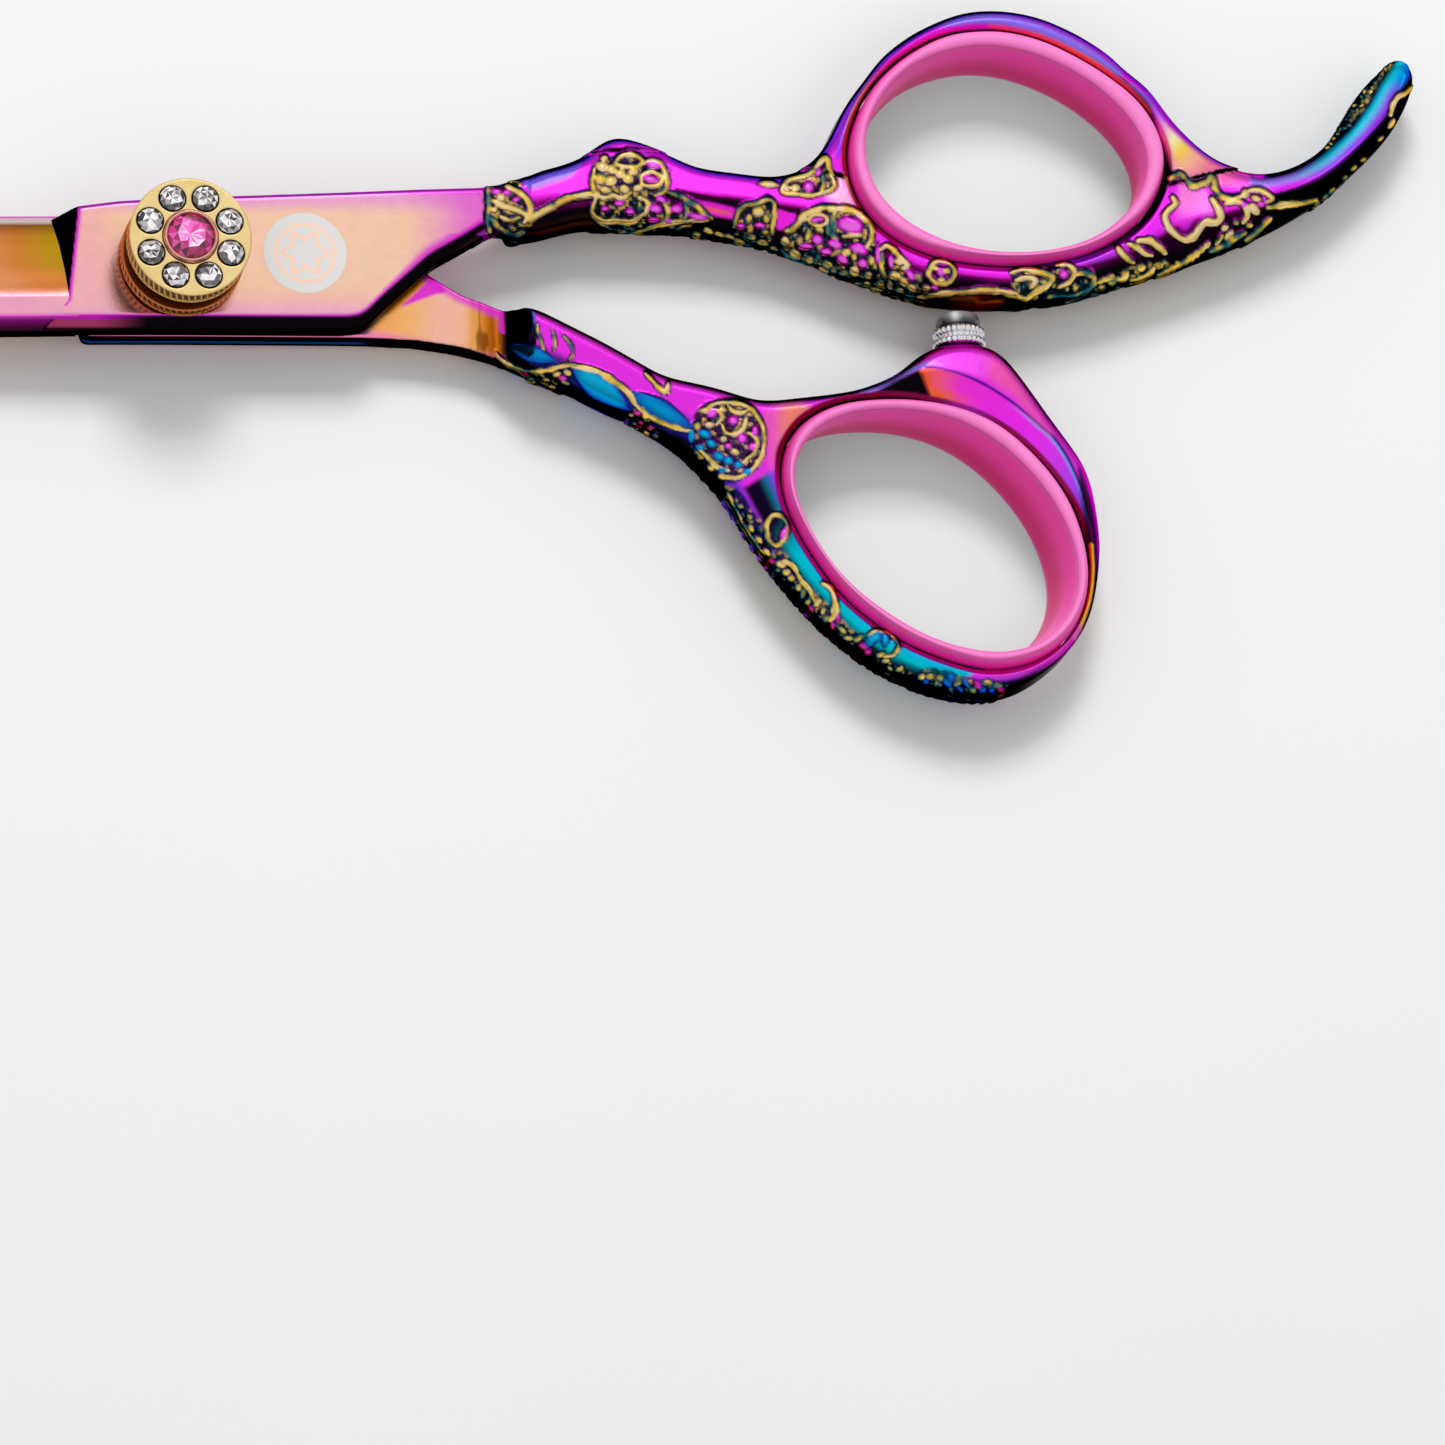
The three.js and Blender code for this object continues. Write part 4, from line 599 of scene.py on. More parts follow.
def thumb_field(h):
    lo, hi = (-10.4, -38.2, -3.45), (78.6, 6.2, 3.45)
    xs, ys, zs, X, Y = plan_grid(lo, hi, h)
    d2, _ = polyline_field(X, Y, THUMB_PLAN, True)
    ds, _ = polyline_field(X, Y, THUMB_SEAT, True)
    beyond, share = crease(X, Y, THUMB_RIDGE)
    slope = np.interp(share, [0, 0.1, 0.35, 0.5, 0.9, 1], [0.38, 0.45, 0.42, 0.42, 0.45, 0.2]).astype(F32)
    drop = slope * (np.sqrt(np.maximum(beyond, 0) ** 2 + 0.09) - 0.3)
    half = 2.82 - np.minimum(drop, 1.75)
    # the boss under the bumper: a flat outer band and a chamfer that falls towards the ring opening
    pk, ps = crease(X, Y, THUMB_PEAK)
    fall = np.interp(ps, [0, 0.12, 0.5, 0.85, 1], [0.0, 0.34, 0.4, 0.34, 0.0]).astype(F32)
    fade = smooth(0.0, 0.04, ps) * smooth(1.0, 0.96, ps)
    near = np.maximum(pk, 0) * (ds < 5.5)
    half = half - np.minimum(fall * (np.sqrt(near ** 2 + 0.03) - 0.17) * fade, 1.5)
    outer = np.minimum(0.1 * np.maximum(-pk, 0) * fade * (d2 > -6), 0.4)
    half = half - outer
    D = rounded_slab(d2, zs, half.astype(F32), 1.25)
    D = smax(D, -(ds[:, :, None] + 0.0 * zs[None, None, :]), 0.12)
    D = smax(D, (0.55 - ds[:, :, None]) * 0.6 + (np.abs(zs)[None, None, :] - 2.72) * 0.8, 0.06)
    z = zs[None, None, :]
    over = np.minimum(z + 0.05, (X[:, :, None] - 27.7) * -0.805 + (z + 0.05) * 0.593)
    D = smax(D, over, 0.15)
    midy = np.interp(xs, [-11, 13, 16, 20, 24, 28], [-1.5, -1.5, -2.0, -3.6, -4.9, -5.6])[:, None]
    P, dp = plate_field(X, Y, zs, THUMB_PLATE, -1, 0.28, 0.95, Y < midy)
    D = smin(D, P, 0.3)
    rr = np.hypot(X, Y)[:, :, None]
    D = np.maximum(D, -(rr - 2.5 + 0 * z))
    D = np.maximum(D, -np.maximum(rr - 4.3, -0.72 - z))
    stud = np.maximum(np.hypot(X[:, :, None] - 66.8, z + 0 * Y[:, :, None]) - 1.26, -9.0 - Y[:, :, None])
    D = np.maximum(D, -stud)
    return D, lo, xs, ys, zs


def add_relief(D, lo, h, xmin):
    """raise and sink the ornament on every face the picture plane sees, and its mirror image on the back"""
    idx = np.argwhere(np.abs(D) < 0.75)
    p = np.array(lo) + idx * h
    keep = p[:, 0] > xmin
    idx, p = idx[keep], p[keep]
    g = [np.gradient(D, axis=k) for k in range(3)]
    n = np.stack([a[idx[:, 0], idx[:, 1], idx[:, 2]] for a in g], -1)
    del g
    n /= np.linalg.norm(n, axis=1)[:, None] + 1e-9
    front = n @ CAM_V
    back = (n * [1, 1, -1]) @ CAM_V
    q = np.where((front >= back)[:, None], p, p * [1, 1, -1])
    u, v = project(q)
    facing = smooth(-0.05, 0.12, np.maximum(front, back))
    D[idx[:, 0], idx[:, 1], idx[:, 2]] -= (ornament("relief", u, v) * facing).astype(F32)
    return D


def mesh_from_arrays(name, verts, faces3, faces4, normals=None):
    """a mesh object from arrays in metres"""
    me = bpy.data.meshes.new(name)
    n3, n4 = len(faces3), len(faces4)
    me.vertices.add(len(verts))
    me.vertices.foreach_set("co", np.asarray(verts, F32).ravel())
    me.loops.add(n3 * 3 + n4 * 4)
    me.loops.foreach_set("vertex_index", np.concatenate([np.asarray(faces3, np.int32).ravel(), np.asarray(faces4, np.int32).ravel()]).astype(np.int32))
    me.polygons.add(n3 + n4)
    start = np.concatenate([np.arange(n3) * 3, n3 * 3 + np.arange(n4) * 4]).astype(np.int32)
    me.polygons.foreach_set("loop_start", start)
    me.update(calc_edges=True)
    me.validate()
    me.polygons.foreach_set("use_smooth", np.ones(len(me.polygons), bool))
    if normals is not None:
        me.normals_split_custom_set_from_vertices(normals)
    me.update()
    ob = bpy.data.objects.new(name, me)
    bpy.context.scene.collection.objects.link(ob)
    return ob


def trilinear(A, q):
    s = np.array(A.shape) - 1.001
    q = np.clip(q, 0, s)
    i = q.astype(int)
    f = q - i
    out = 0
    for dx in (0, 1):
        for dy in (0, 1):
            for dz in (0, 1):
                w = (f[:, 0] if dx else 1 - f[:, 0]) * (f[:, 1] if dy else 1 - f[:, 1]) * (f[:, 2] if dz else 1 - f[:, 2])
                out = out + w * A[i[:, 0] + dx, i[:, 1] + dy, i[:, 2] + dz]
    return out


def surface(name, D, lo, h, adaptivity=0.0):
    """closed surface of a distance field, with the field's own normals"""
    grid = vdb.FloatGrid(float(D.max()))
    grid.copyFromArray(np.ascontiguousarray(np.clip(D, -3, 3), dtype=F32))
    pts, tris, quads = grid.convertToPolygons(isovalue=0.0, adaptivity=adaptivity)
    nrm = np.stack([trilinear(g, pts) for g in np.gradient(D)], -1)
    nrm /= np.linalg.norm(nrm, axis=1)[:, None] + 1e-9
    # face order follows the outward normal
    q = quads if len(quads) else tris
    fn = np.cross(pts[q[:, 1]] - pts[q[:, 0]], pts[q[:, 2]] - pts[q[:, 0]])
    if (fn * nrm[q[:, 0]]).sum() < 0:
        quads, tris = quads[:, ::-1], tris[:, ::-1]
    mm = np.array(lo) + pts * h
    verts = (mm + [0, 0, LIFT]) * 0.001
    ob = mesh_from_arrays(name, verts, tris, quads, nrm)
    return ob, mm, nrm


def paint(ob, rgb, rough, name="Col"):
    """per vertex colour (linear) and finish"""
    me = ob.data
    a = me.attributes.new(name, "FLOAT_COLOR", "POINT")
    col = np.ones((len(me.vertices), 4), F32)
    col[:, :3] = np.clip(rgb, 0, 1)
    a.data.foreach_set("color", col.ravel())
    b = me.attributes.new("Finish", "FLOAT", "POINT")
    b.data.foreach_set("value", np.broadcast_to(np.asarray(rough, F32), (len(me.vertices),)).astype(F32).copy())


# ------------------------------------------------------------------ colours of the interference coating
MAG = lin(252, 52, 246)
MAG2 = lin(232, 40, 214)
ROSE = lin(238, 92, 150)
VIO = lin(158, 92, 250)
BLU = lin(84, 96, 232)
CYA = lin(22, 170, 224)
NAVY = lin(26, 26, 90)
# black, also used as painted dark reflection on the steepest faces
BLK = lin(14, 8, 14)
PEACH = lin(255, 206, 172)
PINK = lin(250, 178, 200)
LILAC = lin(240, 150, 224)
GOLDC = lin(208, 172, 44)
ORANGE = lin(246, 148, 84)
BROWN = lin(70, 34, 34)
GILT1, GILT2 = lin(226, 182, 70), lin(150, 112, 40)
TEAL, TEALD = lin(62, 108, 112), lin(22, 40, 48)
PETAL = lin(240, 96, 214)
PETALO = lin(244, 130, 120)
BLUEP = lin(34, 128, 236)


def pattern_position(p, n):
    front, back = n @ CAM_V, (n * [1, 1, -1]) @ CAM_V
    use = front >= back
    q = np.where(use[:, None], p, p * [1, 1, -1])
    m = np.where(use[:, None], n, n * [1, 1, -1])
    u, v = project(q)
    return q, m, u, v


# tone ramps from painted shadow (black) through teal and gold to a pale painted highlight, for the ribs and for the
# textured ground
RIB = [(0.0, lin(4, 10, 14)), (0.14, lin(12, 44, 58)), (0.28, lin(40, 104, 122)), (0.4, lin(104, 134, 108)), (0.5, lin(176, 150, 64)), (0.64, lin(240, 196, 76)), (0.8, lin(255, 216, 120)), (1.0, lin(255, 226, 176))]
BED_GRAIN_SHADE = [(0.0, lin(3, 6, 10)), (0.14, lin(8, 24, 34)), (0.28, lin(26, 72, 88)), (0.4, lin(70, 104, 96)), (0.5, lin(150, 128, 60)), (0.66, lin(222, 176, 80)), (1.0, lin(255, 210, 140))]


def with_ornament(rgb, rough, m, u, v, on):
    g, t, b, crevice_shade = (np.clip(ornament(k, u, v) * on, 0, 1) for k in ("gilt", "tint", "blue", "crevice_shade"))
    shade, dome = ornament("shade", u, v), ornament("dome", u, v)
    # painted shade: the same finish is painted darker and bluer on the flanks
    facing = smooth(0.0, 0.75, m[:, 2])
    sh = np.clip(shade * (0.5 + 0.5 * facing) + 0.06 * facing, 0, 1)
    k = np.clip(ornament("bed", u, v) * on, 0, 1)
    rgb = mix(rgb, ramp(np.clip(ornament("bed_grain_shade", u, v) * (0.45 + 0.55 * facing), 0, 1), BED_GRAIN_SHADE), k * 0.95)
    # painted shadow in the crevices round each form
    rgb = rgb * (1 - 0.94 * crevice_shade)[:, None]
    # painted light and shade on the magenta and cyan cells, the magenta turning duller and darker on their steep sides
    petal = ramp(np.clip(dome * (0.45 + 0.55 * facing), 0, 1), [(0, lin(40, 0, 40)), (0.35, lin(150, 16, 130)), (0.62, lin(214, 30, 206)), (0.85, lin(236, 60, 226)), (1, lin(248, 110, 236))])
    petal = mix(petal, lin(196, 70, 110) * (0.3 + 0.7 * dome)[:, None], smooth(0.6, 0.25, m[:, 2]) * 0.85)
    cyan = ramp(np.clip(dome * (0.5 + 0.5 * facing), 0, 1), [(0, lin(10, 10, 60)), (0.3, lin(24, 60, 170)), (0.6, lin(16, 110, 200)), (0.85, lin(6, 150, 212)), (1, lin(20, 180, 230))])
    rgb = mix(rgb, petal, t)
    rgb = mix(rgb, cyan, b)
    rgb = mix(rgb, ramp(sh, RIB), g)
    return rgb, rough + 0.12 * g


def blade_plate_colour(u, v, m, plan_y, edge):
    """outer face of the front blade round the pivot"""
    flat = mix(PEACH, PINK, smooth(282, 320, v))
    flat = mix(flat, lin(252, 190, 206), smooth(200, 120, u) * smooth(220, 280, v) * 0.6)
    flat = mix(flat, LILAC, smooth(216, 198, v) * 0.85)
    flat = mix(flat, lin(252, 176, 186), smooth(130, 84, u) * 0.6)
    flat = mix(flat, lin(244, 170, 216), smooth(300, 318, v) * 0.6)
    flat = mix(flat, lin(238, 110, 214), smooth(395, 486, u))
    flat = mix(flat, lin(255, 214, 196), smooth(90, 0, np.hypot((u - 330) * 0.6, v - 240)) * 0.35)
    return mix(flat, MAG2, smooth(0.55, 0.05, edge) * 0.9)


def plan_distance(p, poly):
    d, _ = polyline_field(p[:, 0].astype(F32), p[:, 1].astype(F32), np.asarray(poly), True)
    return d


def near(u, v, c, pad):
    return np.flatnonzero((u > c[:, 0].min() - pad) & (u < c[:, 0].max() + pad) & (v > c[:, 1].min() - pad) & (v < c[:, 1].max() + pad))


def inside_px(u, v, pts, soft=4.0):
    """0..1 inside a closed curve of the picture plane"""
    c = catmull(pts, True, 5)
    out = np.zeros(len(u))
    k = near(u, v, c, soft + 1)
    if len(k):
        d, _ = polyline_field(u[k].astype(F32), v[k].astype(F32), c, True)
        out[k] = smooth(soft, -soft, d)
    return out


def line_px(u, v, pts, width):
    """1 on a curve of the picture plane, falling to 0 a little past its width"""
    c = catmull(pts, False, 5)
    out = np.zeros(len(u))
    k = near(u, v, c, width + 2)
    if len(k):
        d, _ = polyline_field(u[k].astype(F32), v[k].astype(F32), c, False)
        out[k] = smooth(width + 1.0, width - 0.6, np.abs(d))
    return out


def strip_px(u, v, first, second, soft=1.2):
    """how far a point lies across the strip between two curves, its share along, and a mask"""
    a, b = catmull(first, False, 5), catmull(second, False, 5)
    t, s, mask = np.zeros(len(u)), np.zeros(len(u)), np.zeros(len(u))
    k = near(u, v, np.vstack([a, b]), soft + 2)
    if len(k):
        x, y = u[k].astype(F32), v[k].astype(F32)
        da, sa = polyline_field(x, y, a, False)
        db, _ = polyline_field(x, y, b, False)
        dp, _ = polyline_field(x, y, np.vstack([a, b[::-1]]), True)
        t[k] = np.abs(da) / (np.abs(da) + np.abs(db) + 1e-6)
        s[k] = sa
        mask[k] = smooth(soft, -soft, dp)
    return t, s, mask


# coating colour by how far a face tilts towards +y or -y; the steepest faces go black as painted dark reflection
FINGER_TILT = [(-90, BLK), (-28, BLK), (-23, lin(34, 0, 36)), (-18, lin(110, 8, 90)), (-13, lin(206, 20, 180)), (-6, lin(246, 44, 236)), (6, lin(240, 48, 236)), (16, lin(222, 40, 232)), (25, lin(180, 40, 236)), (31, lin(110, 50, 220)), (37, lin(36, 24, 120)), (43, BLK), (90, BLK)]
THUMB_TILT = [(-90, BLK), (-56, BLK), (-46, lin(20, 10, 66)), (-38, lin(60, 30, 190)), (-31, lin(120, 50, 235)), (-24, lin(170, 60, 245)), (-16, lin(214, 52, 244)), (-7, lin(240, 50, 240)), (8, lin(240, 56, 232)), (18, lin(230, 56, 206)), (27, lin(190, 40, 190)), (34, lin(90, 20, 110)), (41, BLK), (90, BLK)]


def finger_colour(p, n):
    q, m, u, v = pattern_position(p, n)
    tilt = np.degrees(np.arctan2(m[:, 1], np.maximum(m[:, 2], 1e-3)))
    side = np.degrees(np.arctan2(m[:, 0], np.maximum(m[:, 2], 1e-3)))
    wob = 6 * (value_noise(u, v, 46.0, 31) - 0.5) + 3 * (value_noise(u, v, 17.0, 32) - 0.5)
    rgb = ramp(tilt + wob - 0.1 * np.abs(side), FINGER_TILT)
    rough = np.full(len(p), 0.2)
    top = smooth(-24, -14, tilt)
    edge = smooth(36, 27, tilt)
    # blue and violet along the upper edge at the start of the shank and over the ring
    for pts, c in (([(524, 180), (546, 174), (566, 168), (580, 164), (572, 176), (552, 184), (530, 190)], lin(110, 110, 246)), ([(836, 140), (846, 116), (858, 96), (850, 124), (844, 146), (836, 158)], lin(150, 60, 240)), ([(930, 24), (958, 17), (1000, 15), (1040, 24), (1080, 42), (1120, 70), (1112, 74), (1070, 50), (1030, 32), (990, 24), (950, 27)], lin(120, 120, 250)), ([(1128, 84), (1146, 94), (1158, 110), (1166, 122), (1156, 122), (1142, 106)], lin(110, 90, 240))):
        rgb = mix(rgb, c, inside_px(u, v, pts, 3) * edge * 0.85)
    hump = inside_px(u, v, [(590, 162), (602, 151), (616, 146), (634, 146), (652, 150), (668, 158), (664, 164), (648, 157), (630, 153), (612, 153), (600, 160), (594, 166)], 3)
    rgb = mix(rgb, lin(224, 40, 224), hump * smooth(82, 66, tilt) * smooth(-50, -40, tilt))
    # warm gleam low on the first part of the dark flank
    gleam = inside_px(u, v, [(520, 234), (548, 226), (590, 216), (594, 232), (560, 240), (530, 243)], 7)
    rgb = mix(rgb, lin(72, 36, 18), gleam * (1 - top) * 0.8)
    gleam = inside_px(u, v, [(950, 300), (968, 296), (992, 297), (1004, 304), (986, 309), (960, 308)], 4)
    rgb = mix(rgb, lin(150, 74, 24), gleam * 0.8)
    # magenta facet under the crease, with its dark line above
    streak = inside_px(u, v, [(680, 199), (702, 201), (722, 205), (738, 210), (740, 219), (720, 217), (698, 211)], 2)
    rgb = mix(rgb, mix(lin(236, 40, 214), lin(250, 96, 90), inside_px(u, v, [(704, 207), (726, 211), (730, 215), (708, 211)], 3)), streak)
    rgb = mix(rgb, BLK, line_px(u, v, [(676, 190), (702, 196), (722, 200), (742, 207), (756, 205), (776, 206)], 1.6) * 0.85)
    streak = inside_px(u, v, [(775, 209), (790, 211), (797, 214), (790, 228), (776, 228)], 1.8)
    rgb = mix(rgb, lin(250, 40, 232), streak)
    rgb = mix(rgb, BLK, line_px(u, v, [(776, 206), (790, 211), (800, 213)], 1.6) * 0.9)
    # pale pink and warm tones where the shank opens to the ring
    fade = inside_px(u, v, [(826, 196), (838, 176), (846, 186), (858, 210), (872, 226), (862, 222), (846, 208)], 6)
    rgb = mix(rgb, lin(255, 178, 200), fade * top * 0.85)
    # the bevel round the opening
    ds = plan_distance(q, FINGER_SEAT)
    bevel = smooth(0.72, 0.5, ds) * smooth(1.5, 2.1, np.abs(p[:, 2]))
    around = ramp(u, [(846, lin(190, 124, 84)), (862, lin(176, 96, 90)), (880, lin(210, 50, 160)), (940, lin(230, 44, 226)), (1010, lin(200, 50, 226)), (1080, lin(130, 70, 230)), (1150, BLK)])
    around = mix(around, lin(250, 130, 80), inside_px(u, v, [(990, 26), (1040, 34), (1090, 56), (1130, 88), (1150, 112), (1120, 92), (1080, 66), (1030, 44)], 5))
    rgb = mix(rgb, around, bevel)
    rgb = mix(rgb, lin(30, 4, 14), smooth(0.3, 0.16, ds))
    # right shoulder of the ring: a painted pale gold highlight fading to salmon, pink and magenta
    t, s, mask = strip_px(u, v, [(1148, 96), (1162, 118), (1180, 138), (1200, 154), (1224, 167), (1250, 174), (1264, 175)], [(1160, 136), (1167, 152), (1172, 168), (1178, 178), (1200, 180), (1222, 186), (1262, 190)], 3)
    col = ramp(s, [(0, lin(130, 80, 240)), (0.14, lin(220, 90, 250)), (0.24, lin(250, 170, 220)), (0.33, lin(255, 244, 190)), (0.42, lin(255, 214, 80)), (0.5, lin(255, 190, 150)), (0.62, lin(252, 130, 160)), (0.8, lin(244, 90, 190)), (1, lin(226, 50, 236))])
    rgb = mix(rgb, mix(col, lin(250, 120, 210), smooth(0.5, 1, t) * 0.6), mask * smooth(84, 66, tilt) * smooth(-34, -24, tilt))
    inner = inside_px(u, v, [(1180, 184), (1194, 190), (1206, 190), (1210, 204), (1212, 216), (1198, 216), (1186, 230), (1176, 222), (1178, 206)], 4)
    rgb = mix(rgb, mix(lin(252, 130, 220), lin(236, 40, 236), smooth(204, 226, v)), inner * 0.9)
    low = inside_px(u, v, [(1050, 262), (1090, 256), (1130, 240), (1156, 218), (1166, 230), (1150, 240), (1120, 254), (1080, 264)], 4)
    rgb = mix(rgb, mix(lin(150, 80, 250), lin(230, 46, 246), smooth(1080, 1140, u)), low * 0.85 * smooth(-34, -20, tilt))
    # finger rest: one bright band, painted dark reflection (black) beyond it
    rest = smooth(1262, 1276, u)
    rgb = mix(rgb, lin(5, 5, 8), rest)
    t, s, mask = strip_px(u, v, [(1250, 175), (1262, 179), (1288.6, 173.4), (1308, 163.5), (1329, 146.6), (1350, 127), (1365.7, 106), (1378, 85), (1390, 68), (1398, 57)], [(1250, 198), (1273, 194.5), (1300, 187), (1318, 180), (1336, 169), (1353, 153.7), (1368.5, 138), (1381, 124), (1391, 110), (1397, 96), (1406.4, 85), (1411.5, 76), (1412, 66)], 1.3)
    across = ramp(t, [(0, lin(8, 30, 50)), (0.1, lin(6, 50, 80)), (0.2, lin(10, 160, 200)), (0.34, lin(30, 220, 244)), (0.5, lin(120, 180, 252)), (0.68, lin(138, 110, 250)), (0.82, lin(160, 50, 240)), (0.92, lin(70, 16, 110)), (1, lin(6, 4, 10))])
    start = ramp(t, [(0, lin(60, 20, 90)), (0.12, lin(150, 110, 240)), (0.4, lin(170, 130, 250)), (0.65, lin(220, 60, 248)), (0.85, lin(214, 30, 226)), (1, lin(40, 4, 50))])
    tipc = ramp(t, [(0, lin(10, 60, 66)), (0.25, lin(20, 214, 236)), (0.6, lin(10, 160, 246)), (0.85, lin(10, 110, 226)), (1, lin(20, 16, 70))])
    across = mix(start, across, smooth(0.12, 0.42, s))
    across = mix(across, tipc, smooth(0.8, 0.93, s))
    rgb = mix(rgb, across, mask * smooth(-60, -40, tilt))
    flank = inside_px(u, v, [(1322, 147), (1331, 136), (1341, 121), (1350, 109), (1359, 97), (1369, 82), (1376, 76), (1391, 61), (1396, 60), (1378, 86), (1364, 108), (1344, 129), (1328, 147)], 1.5)
    rgb = mix(rgb, lin(40, 32, 34), flank * 0.9)
    # ------ plate round the pivot
    dp = plan_distance(q, FRONT_PLATE)
    plate = smooth(0.35, 0.1, dp) * smooth(30.2, 27.6, q[:, 0])
    low_side = q[:, 1] < np.interp(q[:, 0], [-11, 13, 16, 20, 24, 28], [0.5, 0.5, 1.0, 3.2, 4.6, 5.4])
    edge = np.clip(-dp - np.where(low_side, 0.95, 0.25), 0, 9)
    wide = np.interp(u, [100, 300, 380, 420, 470, 520], [0.3, 0.35, 0.6, 1.5, 1.7, 2.2])
    flat = blade_plate_colour(u, v, m, q[:, 1], np.minimum(edge / wide * 0.9, 5) * np.where(q[:, 1] > 2.5, 2.2, 1.0))
    # lower chamfer by picture row: magenta, a brown band, then painted dark reflection (black) where it turns into the
    # wall; further right it goes black as it steepens; the upper chamfer darkens as it steepens
    lower = mix(lin(196, 24, 190), mix(lin(170, 60, 104), BLK, smooth(326, 329, v)), smooth(317.5, 320.5, v))
    lower = mix(lower, mix(lin(150, 10, 160), BLK, smooth(0.98, 0.86, m[:, 2])), smooth(90, 150, u))
    flank = mix(flat, lower, smooth(0.985, 0.93, m[:, 2]) * (m[:, 1] < 0.25))
    upper = mix(flat, mix(lin(170, 40, 190), lin(50, 16, 70), smooth(0.6, 0.2, m[:, 2])), smooth(0.97, 0.8, m[:, 2]) * (m[:, 1] >= 0.25))
    pl = np.where((m[:, 1] < 0.25)[:, None], flank, upper)
    # warm gleam low on the slanted edge
    pl = mix(pl, lin(70, 34, 12), inside_px(u, v, [(404, 300), (430, 276), (452, 256), (476, 238), (482, 244), (456, 268), (428, 290), (410, 306)], 3) * smooth(0.93, 0.8, m[:, 2]) * 0.9)
    # painted dark reflection: steep walls and the slanted shoulder go black
    wall = smooth(0.35, 0.1, m[:, 2])
    pl = mix(pl, BLK, wall * 0.9)
    shoulder = smooth(-0.2, -0.5, m[:, 0])
    pl = mix(pl, BLK, shoulder * (q[:, 0] < -6))
    left = (q[:, 0] - np.interp(q[:, 1], [-6.2, -4.4, -3.6, 4.2, 5.0], [-11.2, -10.2, -9.55, -8.42, -8.34]))
    pl = mix(pl, MAG2, smooth(0.5, 0.1, left) * smooth(0.9, 0.99, m[:, 2]) * (q[:, 0] < -6) * (q[:, 1] > -4.2))
    pl = mix(pl, lin(186, 44, 190), smooth(0.5, 0.22, -dp) * (q[:, 1] > 2.5) * smooth(-8.6, -8.2, q[:, 0]) * 0.85)
    rgb = mix(rgb, pl, plate)
    rgb, rough = with_ornament(rgb, rough, m, u, v, smooth(24.5, 26.5, q[:, 0]) * smooth(0.0, 0.14, m @ CAM_V))
    return rgb, rough


